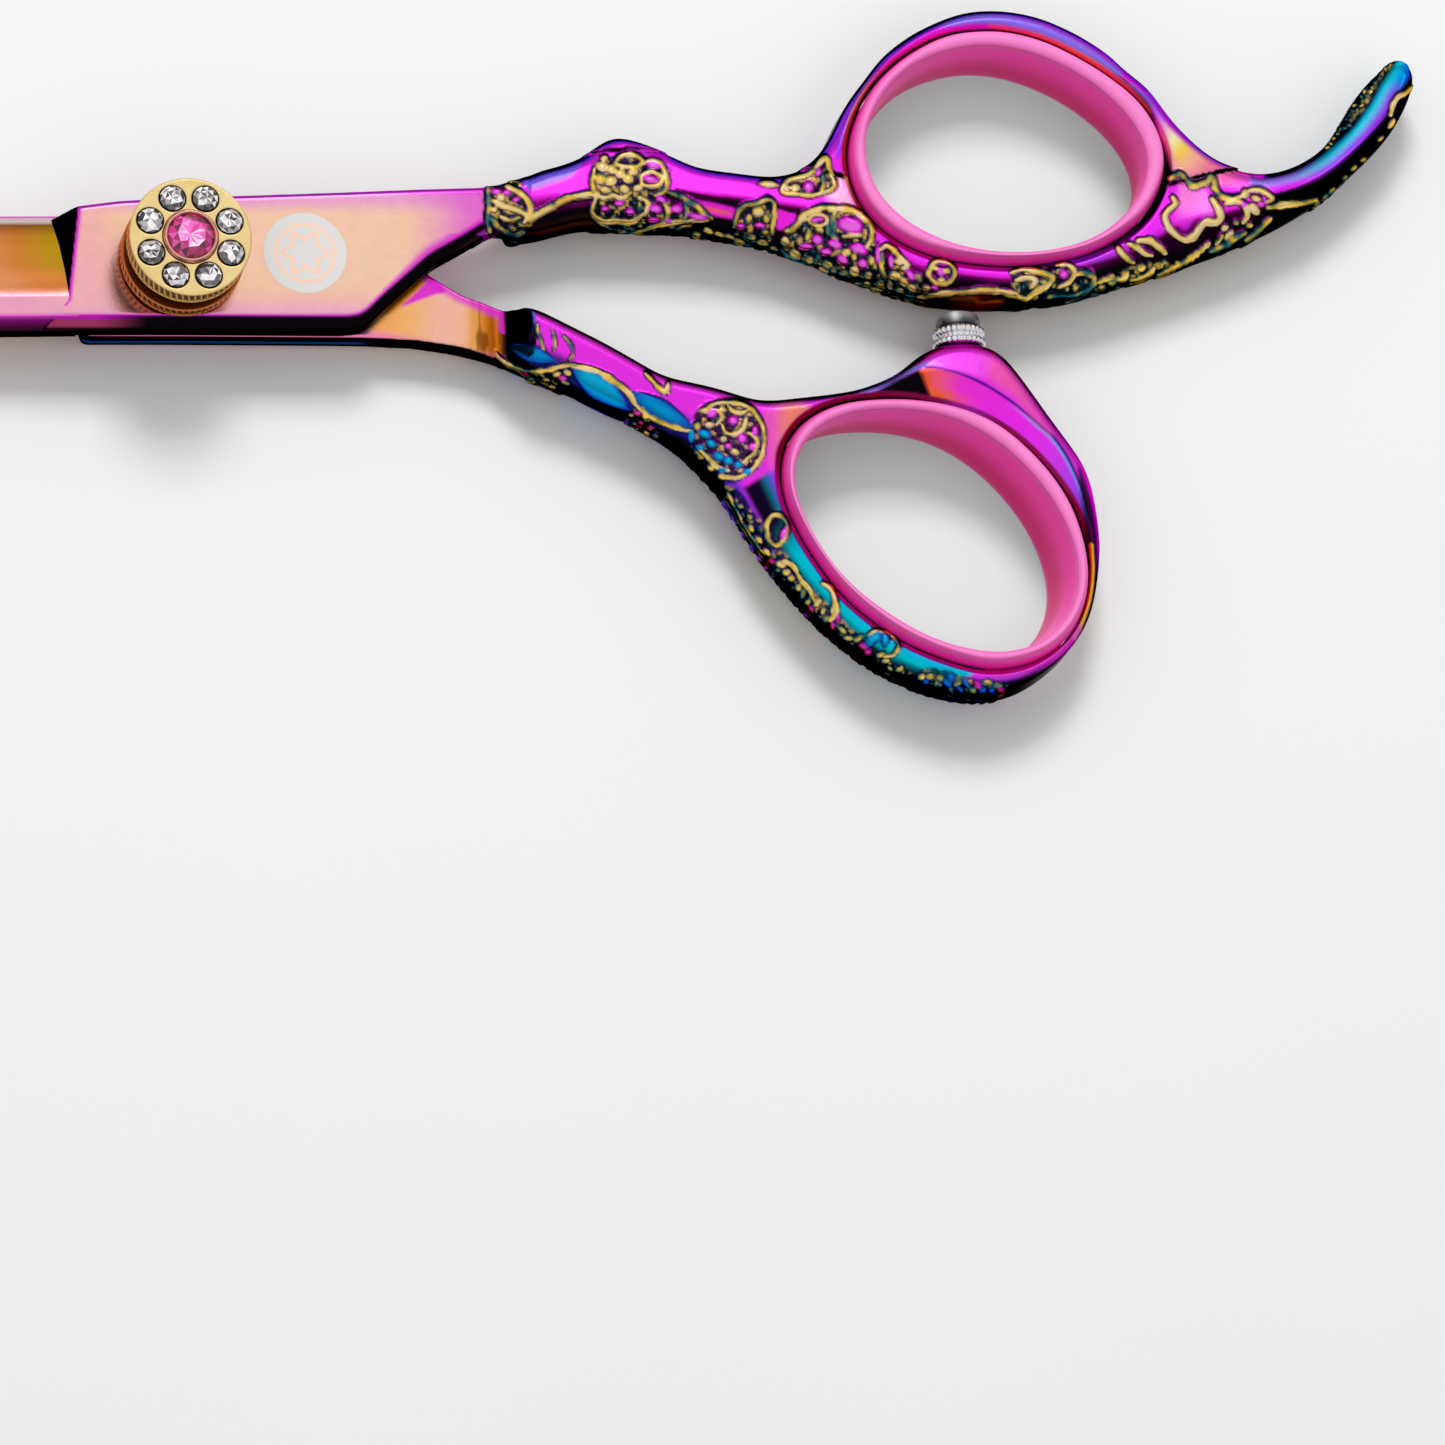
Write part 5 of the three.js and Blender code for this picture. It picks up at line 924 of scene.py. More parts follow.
def thumb_colour(p, n):
    q, m, u, v = pattern_position(p, n)
    tilt = np.degrees(np.arctan2(m[:, 1], np.maximum(m[:, 2], 1e-3)))
    side = np.degrees(np.arctan2(m[:, 0], np.maximum(m[:, 2], 1e-3)))
    wob = 7 * (value_noise(u, v, 40.0, 41) - 0.5) + 3 * (value_noise(u, v, 15.0, 42) - 0.5)
    rgb = ramp(tilt + wob, THUMB_TILT)
    rough = np.full(len(p), 0.2)
    keep = smooth(-72, -56, tilt)
    # cyan and blue panels of the shank, navy between them
    for pts, c in (([(492, 346), (520, 345), (556, 353), (590, 372), (612, 388), (604, 402), (570, 388), (530, 374), (500, 362)], lin(24, 30, 110)), ([(612, 388), (636, 398), (668, 408), (692, 420), (690, 436), (660, 426), (630, 410)], lin(40, 40, 170)), ([(604, 400), (640, 422), (676, 446), (700, 468), (690, 474), (660, 450), (620, 424)], lin(70, 30, 160))):
        rgb = mix(rgb, c, inside_px(u, v, pts, 5) * 0.85 * keep)
    # long cyan band down the outside of the ring, violet then magenta towards the insert
    t, s, mask = strip_px(u, v, [(744, 488), (758, 514), (778, 548), (801, 580), (828, 610), (856, 638), (890, 662), (926, 676), (960, 683)], [(784, 462), (794, 492), (813, 524), (838, 556), (866, 588), (897, 618), (932, 642), (964, 656), (990, 661)], 3)
    across = ramp(t, [(0, lin(6, 60, 80)), (0.12, lin(10, 140, 166)), (0.24, lin(0, 200, 216)), (0.46, lin(16, 186, 232)), (0.58, lin(90, 120, 246)), (0.68, lin(160, 70, 248)), (0.82, lin(232, 50, 240)), (1, lin(240, 70, 216))])
    across = mix(mix(lin(20, 8, 40), across, smooth(0.3, 0.8, t)), across, smooth(0.14, 0.3, s))
    rgb = mix(rgb, across, mask * smooth(-84, -70, tilt))
    # pink and orange face left of the opening, with a black crescent hugging the insert
    patch = inside_px(u, v, [(764, 412), (790, 404), (812, 408), (800, 424), (786, 440), (778, 460), (770, 470), (766, 440)], 5)
    rgb = mix(rgb, mix(lin(250, 90, 200), lin(250, 140, 96), smooth(768, 790, u)), patch * 0.9)
    moon = inside_px(u, v, [(800, 416), (820, 405), (840, 400), (822, 410), (804, 426), (790, 444), (783, 466), (784, 494), (777, 480), (776, 452), (786, 432)], 2)
    rgb = mix(rgb, BLK, moon * 0.95)
    # rise under the bumper: a crease with violet above it, a bright facet and a dark wedge below it
    crest = [(860, 394), (880, 388), (898, 379), (926, 367), (940, 368), (964, 375), (990, 387.5), (1016, 405), (1042, 427), (1056, 440), (1070, 462), (1082, 490), (1090, 520)]
    seat = [(866, 400), (884, 397), (912, 397), (940, 399), (960, 404), (981, 410), (1000, 420), (1016, 431), (1033, 446), (1050, 466), (1066, 492), (1078, 522), (1084, 545)]
    t, s, mask = strip_px(u, v, crest, seat, 1.5)
    cham = ramp(s, [(0, BLK), (0.2, BLK), (0.22, lin(250, 90, 60)), (0.28, lin(252, 90, 130)), (0.36, lin(248, 50, 220)), (0.6, lin(246, 44, 246)), (0.75, lin(230, 60, 250)), (0.9, lin(170, 70, 250)), (1, lin(120, 60, 230))])
    cham = mix(cham, lin(250, 100, 50), smooth(0.45, 0.9, t) * smooth(0.46, 0.28, s) * (s > 0.21))
    cham = mix(cham, lin(130, 160, 255), smooth(0.3, 0.08, t) * smooth(0.5, 0.66, s))
    rgb = mix(rgb, cham, mask)
    rgb = mix(rgb, lin(150, 130, 252), inside_px(u, v, [(858, 392), (878, 385), (898, 374), (916, 366), (934, 360), (944, 366), (926, 367), (898, 379), (872, 392)], 2) * 0.95)
    rgb = mix(rgb, lin(36, 10, 130), line_px(u, v, crest[3:], 1.2) * 0.9)
    # painted pink highlight on the top facet at the upper right of the ring
    rosy = inside_px(u, v, [(984, 356), (1004, 364), (1020, 384), (1036, 410), (1050, 434), (1036, 420), (1014, 396), (990, 378)], 7)
    rgb = mix(rgb, lin(252, 96, 170), rosy * 0.8 * smooth(40, 26, tilt))
    rgb = mix(rgb, lin(250, 90, 240), inside_px(u, v, [(930, 362), (948, 350), (970, 348), (990, 358), (986, 376), (960, 372), (938, 366)], 5) * 0.7 * smooth(40, 26, tilt))
    foot = inside_px(u, v, [(926, 358), (936, 348), (948, 342), (962, 339), (980, 340), (994, 346), (1004, 356), (990, 356), (964, 354), (944, 356)], 3)
    rgb = mix(rgb, lin(226, 44, 206), foot * smooth(86, 74, tilt) * smooth(-50, -40, tilt) * 0.9)
    # bevel round the opening
    ds = plan_distance(q, THUMB_SEAT)
    bevel = smooth(0.72, 0.5, ds) * smooth(1.5, 2.1, np.abs(p[:, 2]))
    around = mix(lin(150, 20, 80), lin(226, 54, 214), np.maximum(smooth(600, 660, v), smooth(1010, 940, u) * smooth(450, 500, v)))
    around = mix(around, lin(110, 14, 60), smooth(1060, 960, u) * smooth(500, 440, v) * 0.6)
    around = mix(around, lin(230, 110, 70), smooth(1040, 1075, u) * smooth(560, 600, v) * smooth(660, 640, v))
    rgb = mix(rgb, around, bevel)
    rgb = mix(rgb, lin(30, 2, 20), smooth(0.3, 0.16, ds))
    # outer side of the ring, painted black as dark reflection, and its lower band
    dark = inside_px(u, v, [(1078, 470), (1090, 496), (1098, 540), (1098, 600), (1086, 636), (1062, 668), (1030, 690), (990, 702), (950, 700), (962, 688), (1000, 690), (1040, 672), (1068, 646), (1084, 612), (1088, 560)], 3)
    rgb = mix(rgb, BLK, dark * 0.92)
    rgb = mix(rgb, lin(236, 180, 50), line_px(u, v, [(1091, 545), (1092.5, 570), (1090, 596), (1083, 620), (1074, 638)], 1.9))
    rgb = mix(rgb, lin(214, 60, 200), inside_px(u, v, [(984, 668), (1010, 668), (1040, 658), (1066, 640), (1078, 622), (1080, 634), (1062, 656), (1030, 674), (1000, 680)], 3) * 0.8)
    # ------ plate under the front blade and its inner face past the joint
    dp = plan_distance(q, THUMB_PLATE)
    plate = smooth(0.35, 0.1, dp) * smooth(30.4, 27.8, q[:, 0])
    inner = ramp(u, [(380, lin(255, 176, 96)), (410, lin(255, 186, 120)), (440, lin(255, 190, 170)), (462, lin(255, 190, 160)), (474, lin(246, 170, 90)), (484, lin(220, 134, 34)), (492, lin(170, 84, 16)), (497, lin(214, 120, 24)), (503, lin(80, 36, 12)), (508, lin(10, 6, 8)), (540, BLK)])
    stripes = value_noise(u * 1.0, v * 0.12, 2.4, 44)
    inner = mix(inner, lin(110, 52, 10), smooth(0.5, 0.85, stripes) * smooth(468, 480, u) * smooth(506, 496, u) * 0.75)
    inner = mix(inner, lin(250, 130, 210), smooth(330, 344, v - 0.22 * (u - 400)) * 0.8)
    inner = mix(inner, lin(240, 60, 216), inside_px(u, v, [(401, 306), (410, 298), (420, 288), (432, 276), (438, 281), (446, 291), (434, 295), (420, 300), (410, 304)], 1.5))
    inner = mix(inner, lin(250, 150, 40), inside_px(u, v, [(383, 312), (392, 300), (404, 288), (418, 277), (434, 270), (426, 282), (412, 295), (400, 306), (390, 313)], 1.5))
    inner = mix(inner, MAG2, smooth(1.1, 0.35, -dp) * (q[:, 1] > np.interp(q[:, 0], [14, 22, 26, 30], [0, -3.2, -5.0, -6.0])) * 0.8)
    # painted dark reflection: the plate's steep faces go black
    pl = mix(inner, BLK, smooth(0.6, 0.35, m[:, 2]))
    # painted highlight: a teal-blue line along the lower wall of the plate
    under = p[:, 2] < -0.6
    teal = np.exp(-((p[:, 2] + 1.72) / 0.34) ** 2) * smooth(-0.3, -0.5, n[:, 1]) * smooth(-8.4, -7.4, q[:, 0]) * smooth(17.5, 15.0, q[:, 0]) * under
    pl = mix(pl, lin(30, 140, 190), teal)
    rgb = mix(rgb, pl, plate)
    # painted dark reflection: the slanted face at the joint goes black
    ramp_face = smooth(30.6, 29.6, q[:, 0]) * smooth(27.2, 28.0, q[:, 0]) * smooth(-0.3, -0.5, n[:, 0]) * (n[:, 2] > 0.2)
    rgb = mix(rgb, BLK, ramp_face)
    rgb = mix(rgb, lin(110, 110, 240), line_px(u, v, [(534, 314), (534, 326), (530, 340)], 1.6) * (n[:, 2] > 0.2))
    rgb, rough = with_ornament(rgb, rough, m, u, v, smooth(26.5, 28.0, q[:, 0]) * smooth(0.0, 0.14, m @ CAM_V))
    return rgb, rough


# ------------------------------------------------------------------ materials
def nodes_of(name):
    m = bpy.data.materials.new(name)
    m.use_nodes = True
    nt = m.node_tree
    nt.nodes.clear()
    out = nt.nodes.new("ShaderNodeOutputMaterial")
    b = nt.nodes.new("ShaderNodeBsdfPrincipled")
    nt.links.new(b.outputs[0], out.inputs[0])
    return m, nt, b


def vary(nt, b, rough, amount, scale, bump, bump_scale, coord="Object", rough_from=None):
    """fine variation of finish and surface"""
    tc = nt.nodes.new("ShaderNodeTexCoord")
    n1 = nt.nodes.new("ShaderNodeTexNoise")
    n1.inputs["Scale"].default_value = scale
    n1.inputs["Detail"].default_value = 5
    nt.links.new(tc.outputs[coord], n1.inputs["Vector"])
    mr = nt.nodes.new("ShaderNodeMapRange")
    mr.inputs[3].default_value = rough - amount
    mr.inputs[4].default_value = rough + amount
    nt.links.new(n1.outputs[0], mr.inputs[0])
    if rough_from is not None:
        add = nt.nodes.new("ShaderNodeMath")
        add.operation = "ADD"
        mr.inputs[3].default_value = -amount
        mr.inputs[4].default_value = amount
        nt.links.new(mr.outputs[0], add.inputs[0])
        nt.links.new(rough_from, add.inputs[1])
        nt.links.new(add.outputs[0], b.inputs["Roughness"])
    else:
        nt.links.new(mr.outputs[0], b.inputs["Roughness"])
    n2 = nt.nodes.new("ShaderNodeTexNoise")
    n2.inputs["Scale"].default_value = bump_scale
    n2.inputs["Detail"].default_value = 4
    nt.links.new(tc.outputs[coord], n2.inputs["Vector"])
    bp = nt.nodes.new("ShaderNodeBump")
    bp.inputs["Strength"].default_value = bump
    bp.inputs["Distance"].default_value = 0.00005
    nt.links.new(n2.outputs[0], bp.inputs["Height"])
    nt.links.new(bp.outputs[0], b.inputs["Normal"])
    return n1, bp


def painted(name, metallic=0.85, amount=0.05, bump=0.12, emit=0.0, coat=0.0):
    """finish whose colour and roughness are stored on the surface"""
    m, nt, b = nodes_of(name)
    a = nt.nodes.new("ShaderNodeAttribute")
    a.attribute_name = "Col"
    f = nt.nodes.new("ShaderNodeAttribute")
    f.attribute_name = "Finish"
    n1, _ = vary(nt, b, 0.25, amount, 900, bump, 5200, rough_from=f.outputs["Fac"])
    hs = nt.nodes.new("ShaderNodeHueSaturation")
    mr = nt.nodes.new("ShaderNodeMapRange")
    mr.inputs[3].default_value = 0.95
    mr.inputs[4].default_value = 1.05
    nt.links.new(n1.outputs[0], mr.inputs[0])
    nt.links.new(mr.outputs[0], hs.inputs["Value"])
    nt.links.new(a.outputs["Color"], hs.inputs["Color"])
    nt.links.new(hs.outputs[0], b.inputs["Base Color"])
    b.inputs["Metallic"].default_value = metallic
    if metallic > 0.9:
        nt.links.new(hs.outputs[0], b.inputs["Specular Tint"])
    if emit:
        nt.links.new(hs.outputs[0], b.inputs["Emission Color"])
        b.inputs["Emission Strength"].default_value = emit
    if coat:
        b.inputs["Coat Weight"].default_value = coat
        b.inputs["Coat Roughness"].default_value = 0.08
    return m


def plain(name, rgb, rough, metallic, amount=0.05, scale=800, bump=0.2, bump_scale=4000, spread=0.06, coat=0.0):
    """even finish with a little variation of tone"""
    m, nt, b = nodes_of(name)
    n1, _ = vary(nt, b, rough, amount, scale, bump, bump_scale)
    cr = nt.nodes.new("ShaderNodeValToRGB")
    c = lin(*rgb)
    for e, k in zip(cr.color_ramp.elements, (1 - spread, 1 + spread)):
        e.color = (*np.clip(c * k, 0, 1), 1)
    cr.color_ramp.elements[0].position, cr.color_ramp.elements[1].position = 0.3, 0.7
    nt.links.new(n1.outputs[0], cr.inputs[0])
    nt.links.new(cr.outputs[0], b.inputs["Base Color"])
    b.inputs["Metallic"].default_value = metallic
    if coat:
        b.inputs["Coat Weight"].default_value = coat
        b.inputs["Coat Roughness"].default_value = 0.06
    return m


COATED = painted("coated_steel_look", 1.0)
GROUND = painted("ground_blade_look", 1.0, 0.04, 0.08)
# painted glow: the soft inserts give off a faint light of their own colour
SOFT = painted("soft_insert_look", 0.0, 0.06, 0.25, emit=0.13)
SOFT.node_tree.nodes["Principled BSDF"].inputs["Specular IOR Level"].default_value = 0.2
GOLD_TOP = painted("knob_gold_look", 0.8, 0.05, 0.15)
CUT_STONE = painted("clear_stone_look", 0.0, 0.02, 0.02, coat=1.0)
CUT_GEM = painted("pink_gem_look", 0.0, 0.02, 0.02, coat=1.0)
ETCH = painted("etched_mark_look", 0.1, 0.06, 0.4)
CAPPING = painted("bumper_cap_look", 0.0, 0.04, 0.05, coat=0.8)
COLLAR = plain("bumper_steel_look", (236, 236, 240), 0.14, 1.0, 0.06, 1500, 0.2)
STEEL = plain("plain_steel_look", (188, 190, 196), 0.3, 1.0, 0.08, 1200, 0.3)
SPRING = plain("spring_steel_look", (148, 150, 158), 0.34, 1.0, 0.08, 1200, 0.3)
NYLON = plain("washer_plastic_look", (232, 230, 222), 0.55, 0.0, 0.08, 900, 0.3)


def add_piece(ob, mat, body, slot, *nodes):
    ob.data.materials.clear()
    ob.data.materials.append(mat)
    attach(ob, body)
    if nodes:
        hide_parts(*nodes)
    return ob


def grid_mesh(name, P, close_u=False, close_v=False, cap_u=False, sharp=None):
    """mesh from a (rows, columns, 3) array of points in mm from the blade plane"""
    nu, nv = P.shape[:2]
    V = (P.reshape(-1, 3) + [0, 0, LIFT]) * 0.001
    i = np.arange(nu if close_u else nu - 1)
    j = np.arange(nv if close_v else nv - 1)
    I, J = np.meshgrid(i, j, indexing="ij")
    I2, J2 = (I + 1) % nu, (J + 1) % nv
    F = np.stack([I * nv + J, I2 * nv + J, I2 * nv + J2, I * nv + J2], -1).reshape(-1, 4)
    caps = []
    if cap_u:
        caps = [list(range(nv))[::-1], [(nu - 1) * nv + k for k in range(nv)]]
    bm = bmesh.new()
    vs = [bm.verts.new(v) for v in V]
    for f in F.tolist():
        try:
            bm.faces.new([vs[k] for k in f])
        except ValueError:
            pass
    for c in caps:
        bm.faces.new([vs[k] for k in c])
    bmesh.ops.remove_doubles(bm, verts=bm.verts, dist=1e-7)
    bmesh.ops.recalc_face_normals(bm, faces=bm.faces)
    me = bpy.data.meshes.new(name)
    bm.to_mesh(me)
    bm.free()
    ob = bpy.data.objects.new(name, me)
    bpy.context.scene.collection.objects.link(ob)
    me.polygons.foreach_set("use_smooth", np.ones(len(me.polygons), bool))
    if sharp is not None:
        me.set_sharp_from_angle(angle=math.radians(sharp))
    return ob


def points_of(ob):
    me = ob.data
    co = np.zeros(len(me.vertices) * 3, F32)
    me.vertices.foreach_get("co", co)
    no = np.zeros(len(me.vertices) * 3, F32)
    me.vertices.foreach_get("normal", no)
    return co.reshape(-1, 3).astype(float) * 1000 - [0, 0, LIFT], no.reshape(-1, 3).astype(float)


# ------------------------------------------------------------------ the two handles with their plates
D, lo, xs, ys, zs = finger_field(VOXEL)
D = np.ascontiguousarray(D, dtype=F32)
D = add_relief(D, lo, VOXEL, 24.8)
body, mm, nn = surface("finger_handle_coated", D, lo, VOXEL, 0.0)
del D
paint(body, *finger_colour(mm, nn))
FINGER_OBJ = add_piece(body, COATED, "finger_side", "coated_steel", "finger_blade")

D, lo, xs, ys, zs = thumb_field(VOXEL)
D = np.ascontiguousarray(D, dtype=F32)
D = add_relief(D, lo, VOXEL, 26.8)
body, mm, nn = surface("thumb_handle_coated", D, lo, VOXEL, 0.0)
del D
paint(body, *thumb_colour(mm, nn))
THUMB_OBJ = add_piece(body, COATED, "thumb_side", "coated_steel", "thumb_blade")

# ------------------------------------------------------------------ ground blades
SECTION = [(0, .018), (.1, .018), (.35, .1), (.65, .1), (.93, .018), (1, .018), (1, .07), (.9, .225), (.75, .46), (.5, .77), (.34, .94), (.265, .997), (.255, 1), (.09, 1), (0, .62)]


def ground_blade(name, line, sign):
    xs = np.r_[np.linspace(-8.7, -12, 10), np.linspace(-12.6, -66.5, 110)]
    sec = []
    for k in range(len(SECTION)):
        a, b = np.array(SECTION[k], float), np.array(SECTION[(k + 1) % len(SECTION)], float)
        n = max(1, int(np.hypot((b - a)[0] * 9, (b - a)[1] * 2.8) / 0.28))
        for t in np.arange(n) / n:
            sec.append(a + (b - a) * t)
    sec = np.array(sec)
    spine = np.interp(-xs, -line[:, 0], line[:, 1])
    edge = np.interp(-xs, -line[:, 0], line[:, 2])
    k = np.exp(-((np.arange(-6, 7)) / 2.6) ** 2)
    k /= k.sum()
    sm = lambda a: np.r_[a[:6], np.convolve(a, k, "same")[6:-6], a[-6:]]
    spine, edge = sm(spine), sm(edge)
    t = 2.8 * np.interp(-xs, -TAPER[:, 0], TAPER[:, 1])
    P = np.zeros((len(xs), len(sec), 3))
    P[:, :, 0] = xs[:, None]
    P[:, :, 1] = spine[:, None] + (edge - spine)[:, None] * sec[None, :, 0]
    P[:, :, 2] = sign * np.maximum(sec[None, :, 1] * t[:, None], 0.05)
    P[:, :, 2] -= sign * 0.012 * (xs > -9.9)[:, None] * (sec[None, :, 1] > 0.99)
    ob = grid_mesh(name, P, close_v=True, cap_u=True, sharp=24)
    p, n = points_of(ob)
    sp, ed = np.interp(-p[:, 0], -xs, spine), np.interp(-p[:, 0], -xs, edge)
    s = (p[:, 1] - sp) / (ed - sp)
    tt = np.interp(-p[:, 0], -TAPER[:, 0], TAPER[:, 1]) * 2.8
    return ob, p, n, s, p[:, 2] * sign / tt


ob, p, n, s, h = ground_blade("finger_ground_blade", FINGER_LINE, 1)
x = p[:, 0]
along = ramp(-x, [(8.5, lin(206, 176, 10)), (11.0, lin(226, 168, 40)), (13.5, lin(244, 150, 62)), (17, lin(252, 172, 112)), (24, lin(255, 200, 160)), (32, lin(252, 170, 186)), (40, lin(240, 96, 214)), (49, lin(190, 88, 250)), (57, lin(120, 120, 250)), (66.5, lin(60, 180, 235))])
low = ramp(-x, [(8.5, lin(240, 150, 70)), (12, lin(250, 150, 80)), (17, lin(255, 178, 130)), (24, lin(255, 206, 176)), (40, lin(246, 120, 220)), (66.5, lin(90, 170, 240))])
rgb = mix(along, low, smooth(0.62, 0.36, s))
rgb = mix(rgb, lin(96, 40, 30), smooth(0.8, 1.0, s) * 0.85)
rgb = mix(rgb, ramp(-x, [(8, lin(250, 180, 196)), (20, lin(246, 164, 206)), (40, lin(230, 110, 240)), (66, lin(110, 150, 245))]), smooth(0.33, 0.25, s))
# painted shade along the crest between the two ground faces, damping the highlight of the sheen lamp there
ridge = np.exp(-((s - 0.31) / 0.045) ** 2)
rgb = rgb * (1 - 0.3 * ridge * smooth(-30, -16, x))[:, None]
rgb = mix(rgb, MAG2, smooth(0.12, 0.08, s))
# towards the spine the face darkens, and the spine wall is painted black as dark reflection
rgb = mix(rgb, mix(lin(150, 20, 130), lin(50, 20, 40), smooth(0.08, 0.0, s)), smooth(0.09, 0.06, s))
rgb = mix(rgb, BLK, (h < 0.6) * smooth(0.02, 0.0, s))
inside = h < 0.13
rgb = mix(rgb, ramp(-x, [(8, lin(250, 186, 180)), (30, lin(246, 140, 210)), (66, lin(150, 140, 245))]), inside * (s > 0.01) * 1.0)
rgb = mix(rgb, lin(250, 236, 236), smooth(0.93, 0.97, s) * inside * 0.9)
paint(ob, rgb, 0.2)
add_piece(ob, GROUND, "finger_side", "coated_steel")

ob, p, n, s, h = ground_blade("thumb_ground_blade", THUMB_LINE, -1)
x = p[:, 0]
rgb = ramp(-x, [(8, lin(255, 214, 216)), (20, lin(252, 190, 206)), (40, lin(240, 110, 226)), (66, lin(120, 150, 246))])
rgb = mix(rgb, ramp(-x, [(8, lin(214, 176, 40)), (15, lin(250, 160, 90)), (30, lin(255, 190, 170)), (45, lin(236, 96, 224)), (66, lin(70, 170, 238))]), (h > 0.13) * smooth(0.2, 0.3, s))
# painted dark reflection: the spine wall goes black
rgb = mix(rgb, BLK, (h > 0.13) * (h < 0.7) * smooth(0.05, 0.0, s))
rgb = mix(rgb, lin(210, 60, 200), (h < 0.13) * smooth(0.03, 0.0, s))
paint(ob, rgb, 0.2)
add_piece(ob, GROUND, "thumb_side", "coated_steel")


# ------------------------------------------------------------------ soft ring inserts
def polar(curve, centre, ang):
    d = curve - centre
    a = np.arctan2(d[:, 1], d[:, 0])
    r = np.hypot(*d.T)
    o = np.argsort(a)
    a, r = a[o], r[o]
    a = np.r_[a - 2 * np.pi, a, a + 2 * np.pi]
    r = np.r_[r, r, r]
    rr = np.interp(ang, a, r)
    return centre + rr[:, None] * np.stack([np.cos(ang), np.sin(ang)], -1)


def ring_insert(name, seat, hole, body_name, node, lean=(0.0, 0.0)):
    c = (seat.max(0) + seat.min(0)) / 2
    ang = np.linspace(-np.pi, np.pi, 320, endpoint=False)
    A, B = relax(polar(seat, c, ang), True, 6), relax(polar(hole, c, ang), True, 10)
    A = A - 0.04 * (A - B) / np.hypot(*(A - B).T)[:, None]
    out = A - B
    wd = np.hypot(*out.T)[:, None]
    out = out / wd
    prof = []        # (share from hole 0 to seat 1, mm outwards, z)
    prof += [(1, -0.05, z) for z in np.linspace(-2.55, 2.55, 6)]
    prof += [(1, -0.1, 2.7), (1, -0.18, 2.9), (1, -0.22, 3.06), (1, -0.25, 3.24), (1, -0.32, 3.42), (1, -0.44, 3.54)]
    for f, z in ((0.62, 3.63), (0.5, 3.68), (0.4, 3.68), (0.32, 3.62)):
        prof.append((f, 0, z))
    prof += [(0, 0.22, 3.54), (0, 0.14, 3.42), (0, 0.1, 3.22), (0, 0.07, 2.8)]
    top = prof[5:]
    prof += [(0, 0.02 + 0.0 * k, z) for k, z in enumerate(np.linspace(2.2, -2.2, 7))]
    prof += [(f, o, -z) for f, o, z in reversed(top)]
    P = np.zeros((len(prof), len(A), 3))
    for k, (f, o, z) in enumerate(prof):
        P[k, :, :2] = B + (A - B) * f + out * o
        P[k, :, 2] = z
        down = (1 - f) * np.clip((3.3 - z) / 6.8, 0, 1)
        P[k, :, 0] += lean[0] * down
        P[k, :, 1] += lean[1] * down
    ob = grid_mesh(name, P, close_u=True, close_v=True)
    p, n = points_of(ob)
    # painted light and shade: deeper magenta down the inner wall, darker on faces turned away from the lamps, paler on
    # faces turned up
    wall = smooth(3.45, 2.7, np.abs(p[:, 2]))
    light = lin(232, 104, 180)
    tone = mix(light, lin(214, 70, 150), smooth(0.2, -0.6, n[:, 1]) * 0.6)
    deep = mix(lin(252, 44, 168), lin(214, 4, 112), smooth(2.2, -1.6, p[:, 2]))
    rgb = mix(tone, deep, wall)
    rgb = mix(rgb, lin(240, 150, 212), smooth(0.75, 0.98, n[:, 2]) * 0.5)
    rgb = mix(rgb, lin(206, 50, 140), np.exp(-((np.abs(p[:, 2]) - 3.36) / 0.07) ** 2) * 0.6)
    paint(ob, rgb, 0.34)
    ob.visible_diffuse = False
    add_piece(ob, SOFT, body_name, "soft_insert", node)
    return ob


ring_insert("finger_soft_ring", FINGER_SEAT, FINGER_HOLE, "finger_side", "finger_ring_insert", (0.15, -0.3))
ring_insert("thumb_soft_ring", THUMB_SEAT, THUMB_HOLE, "thumb_side", "thumb_ring_insert", (-1.15, 0.1))


# ------------------------------------------------------------------ tension knob
def small_field(lo, hi, h, fn):
    xs = np.arange(lo[0], hi[0] + h, h)
    ys = np.arange(lo[1], hi[1] + h, h)
    zs = np.arange(lo[2], hi[2] + h, h)
    X, Y, Z = np.meshgrid(xs, ys, zs, indexing="ij")
    return fn(X, Y, Z).astype(F32)


def knurled(X, Y, Z, radius, depth, teeth, lean, z0, z1, rnd):
    r = np.hypot(X, Y)
    th = np.arctan2(Y, X)
    ph = teeth * th + lean * (Z - z0)
    fade = smooth(z1 - 0.1, z1 - 0.45, Z) * smooth(z0 + 0.05, z0 + 0.3, Z)
    R = radius - depth * (0.12 + 0.88 * fade * (0.5 - 0.5 * np.cos(ph)) ** 0.8)
    w = (r - R) * 0.75 + rnd
    q = np.abs(Z - (z0 + z1) / 2) - (z1 - z0) / 2 + rnd
    return np.minimum(np.maximum(w, q), 0) + np.hypot(np.maximum(w, 0), np.maximum(q, 0)) - rnd


STONE_XY = [(3.6 * math.cos(math.radians(22.5 + 45 * k)), 3.6 * math.sin(math.radians(22.5 + 45 * k))) for k in range(8)]


def cap_field(X, Y, Z):
    d = knurled(X, Y, Z, 5.16, 0.3, 60, 2.6, 6.7, 8.7, 0.1)
    r = np.hypot(X, Y)
    d = np.minimum(d, np.maximum(r - 2.6, np.abs(Z - 6.6) - 0.4))
    for cx, cy in STONE_XY:
        rr = np.hypot(X - cx, Y - cy)
        d = np.maximum(d, -np.maximum(rr - 1.12, 7.8 - Z))
        d = np.maximum(d, -((rr - 1.12) * 0.7 + (8.7 - Z) * 0.7 - 0.06))
    d = np.maximum(d, -np.maximum(r - 2.33, 8.2 - Z))
    d = np.maximum(d, -np.maximum(r - 1.55, 7.3 - Z))
    return d


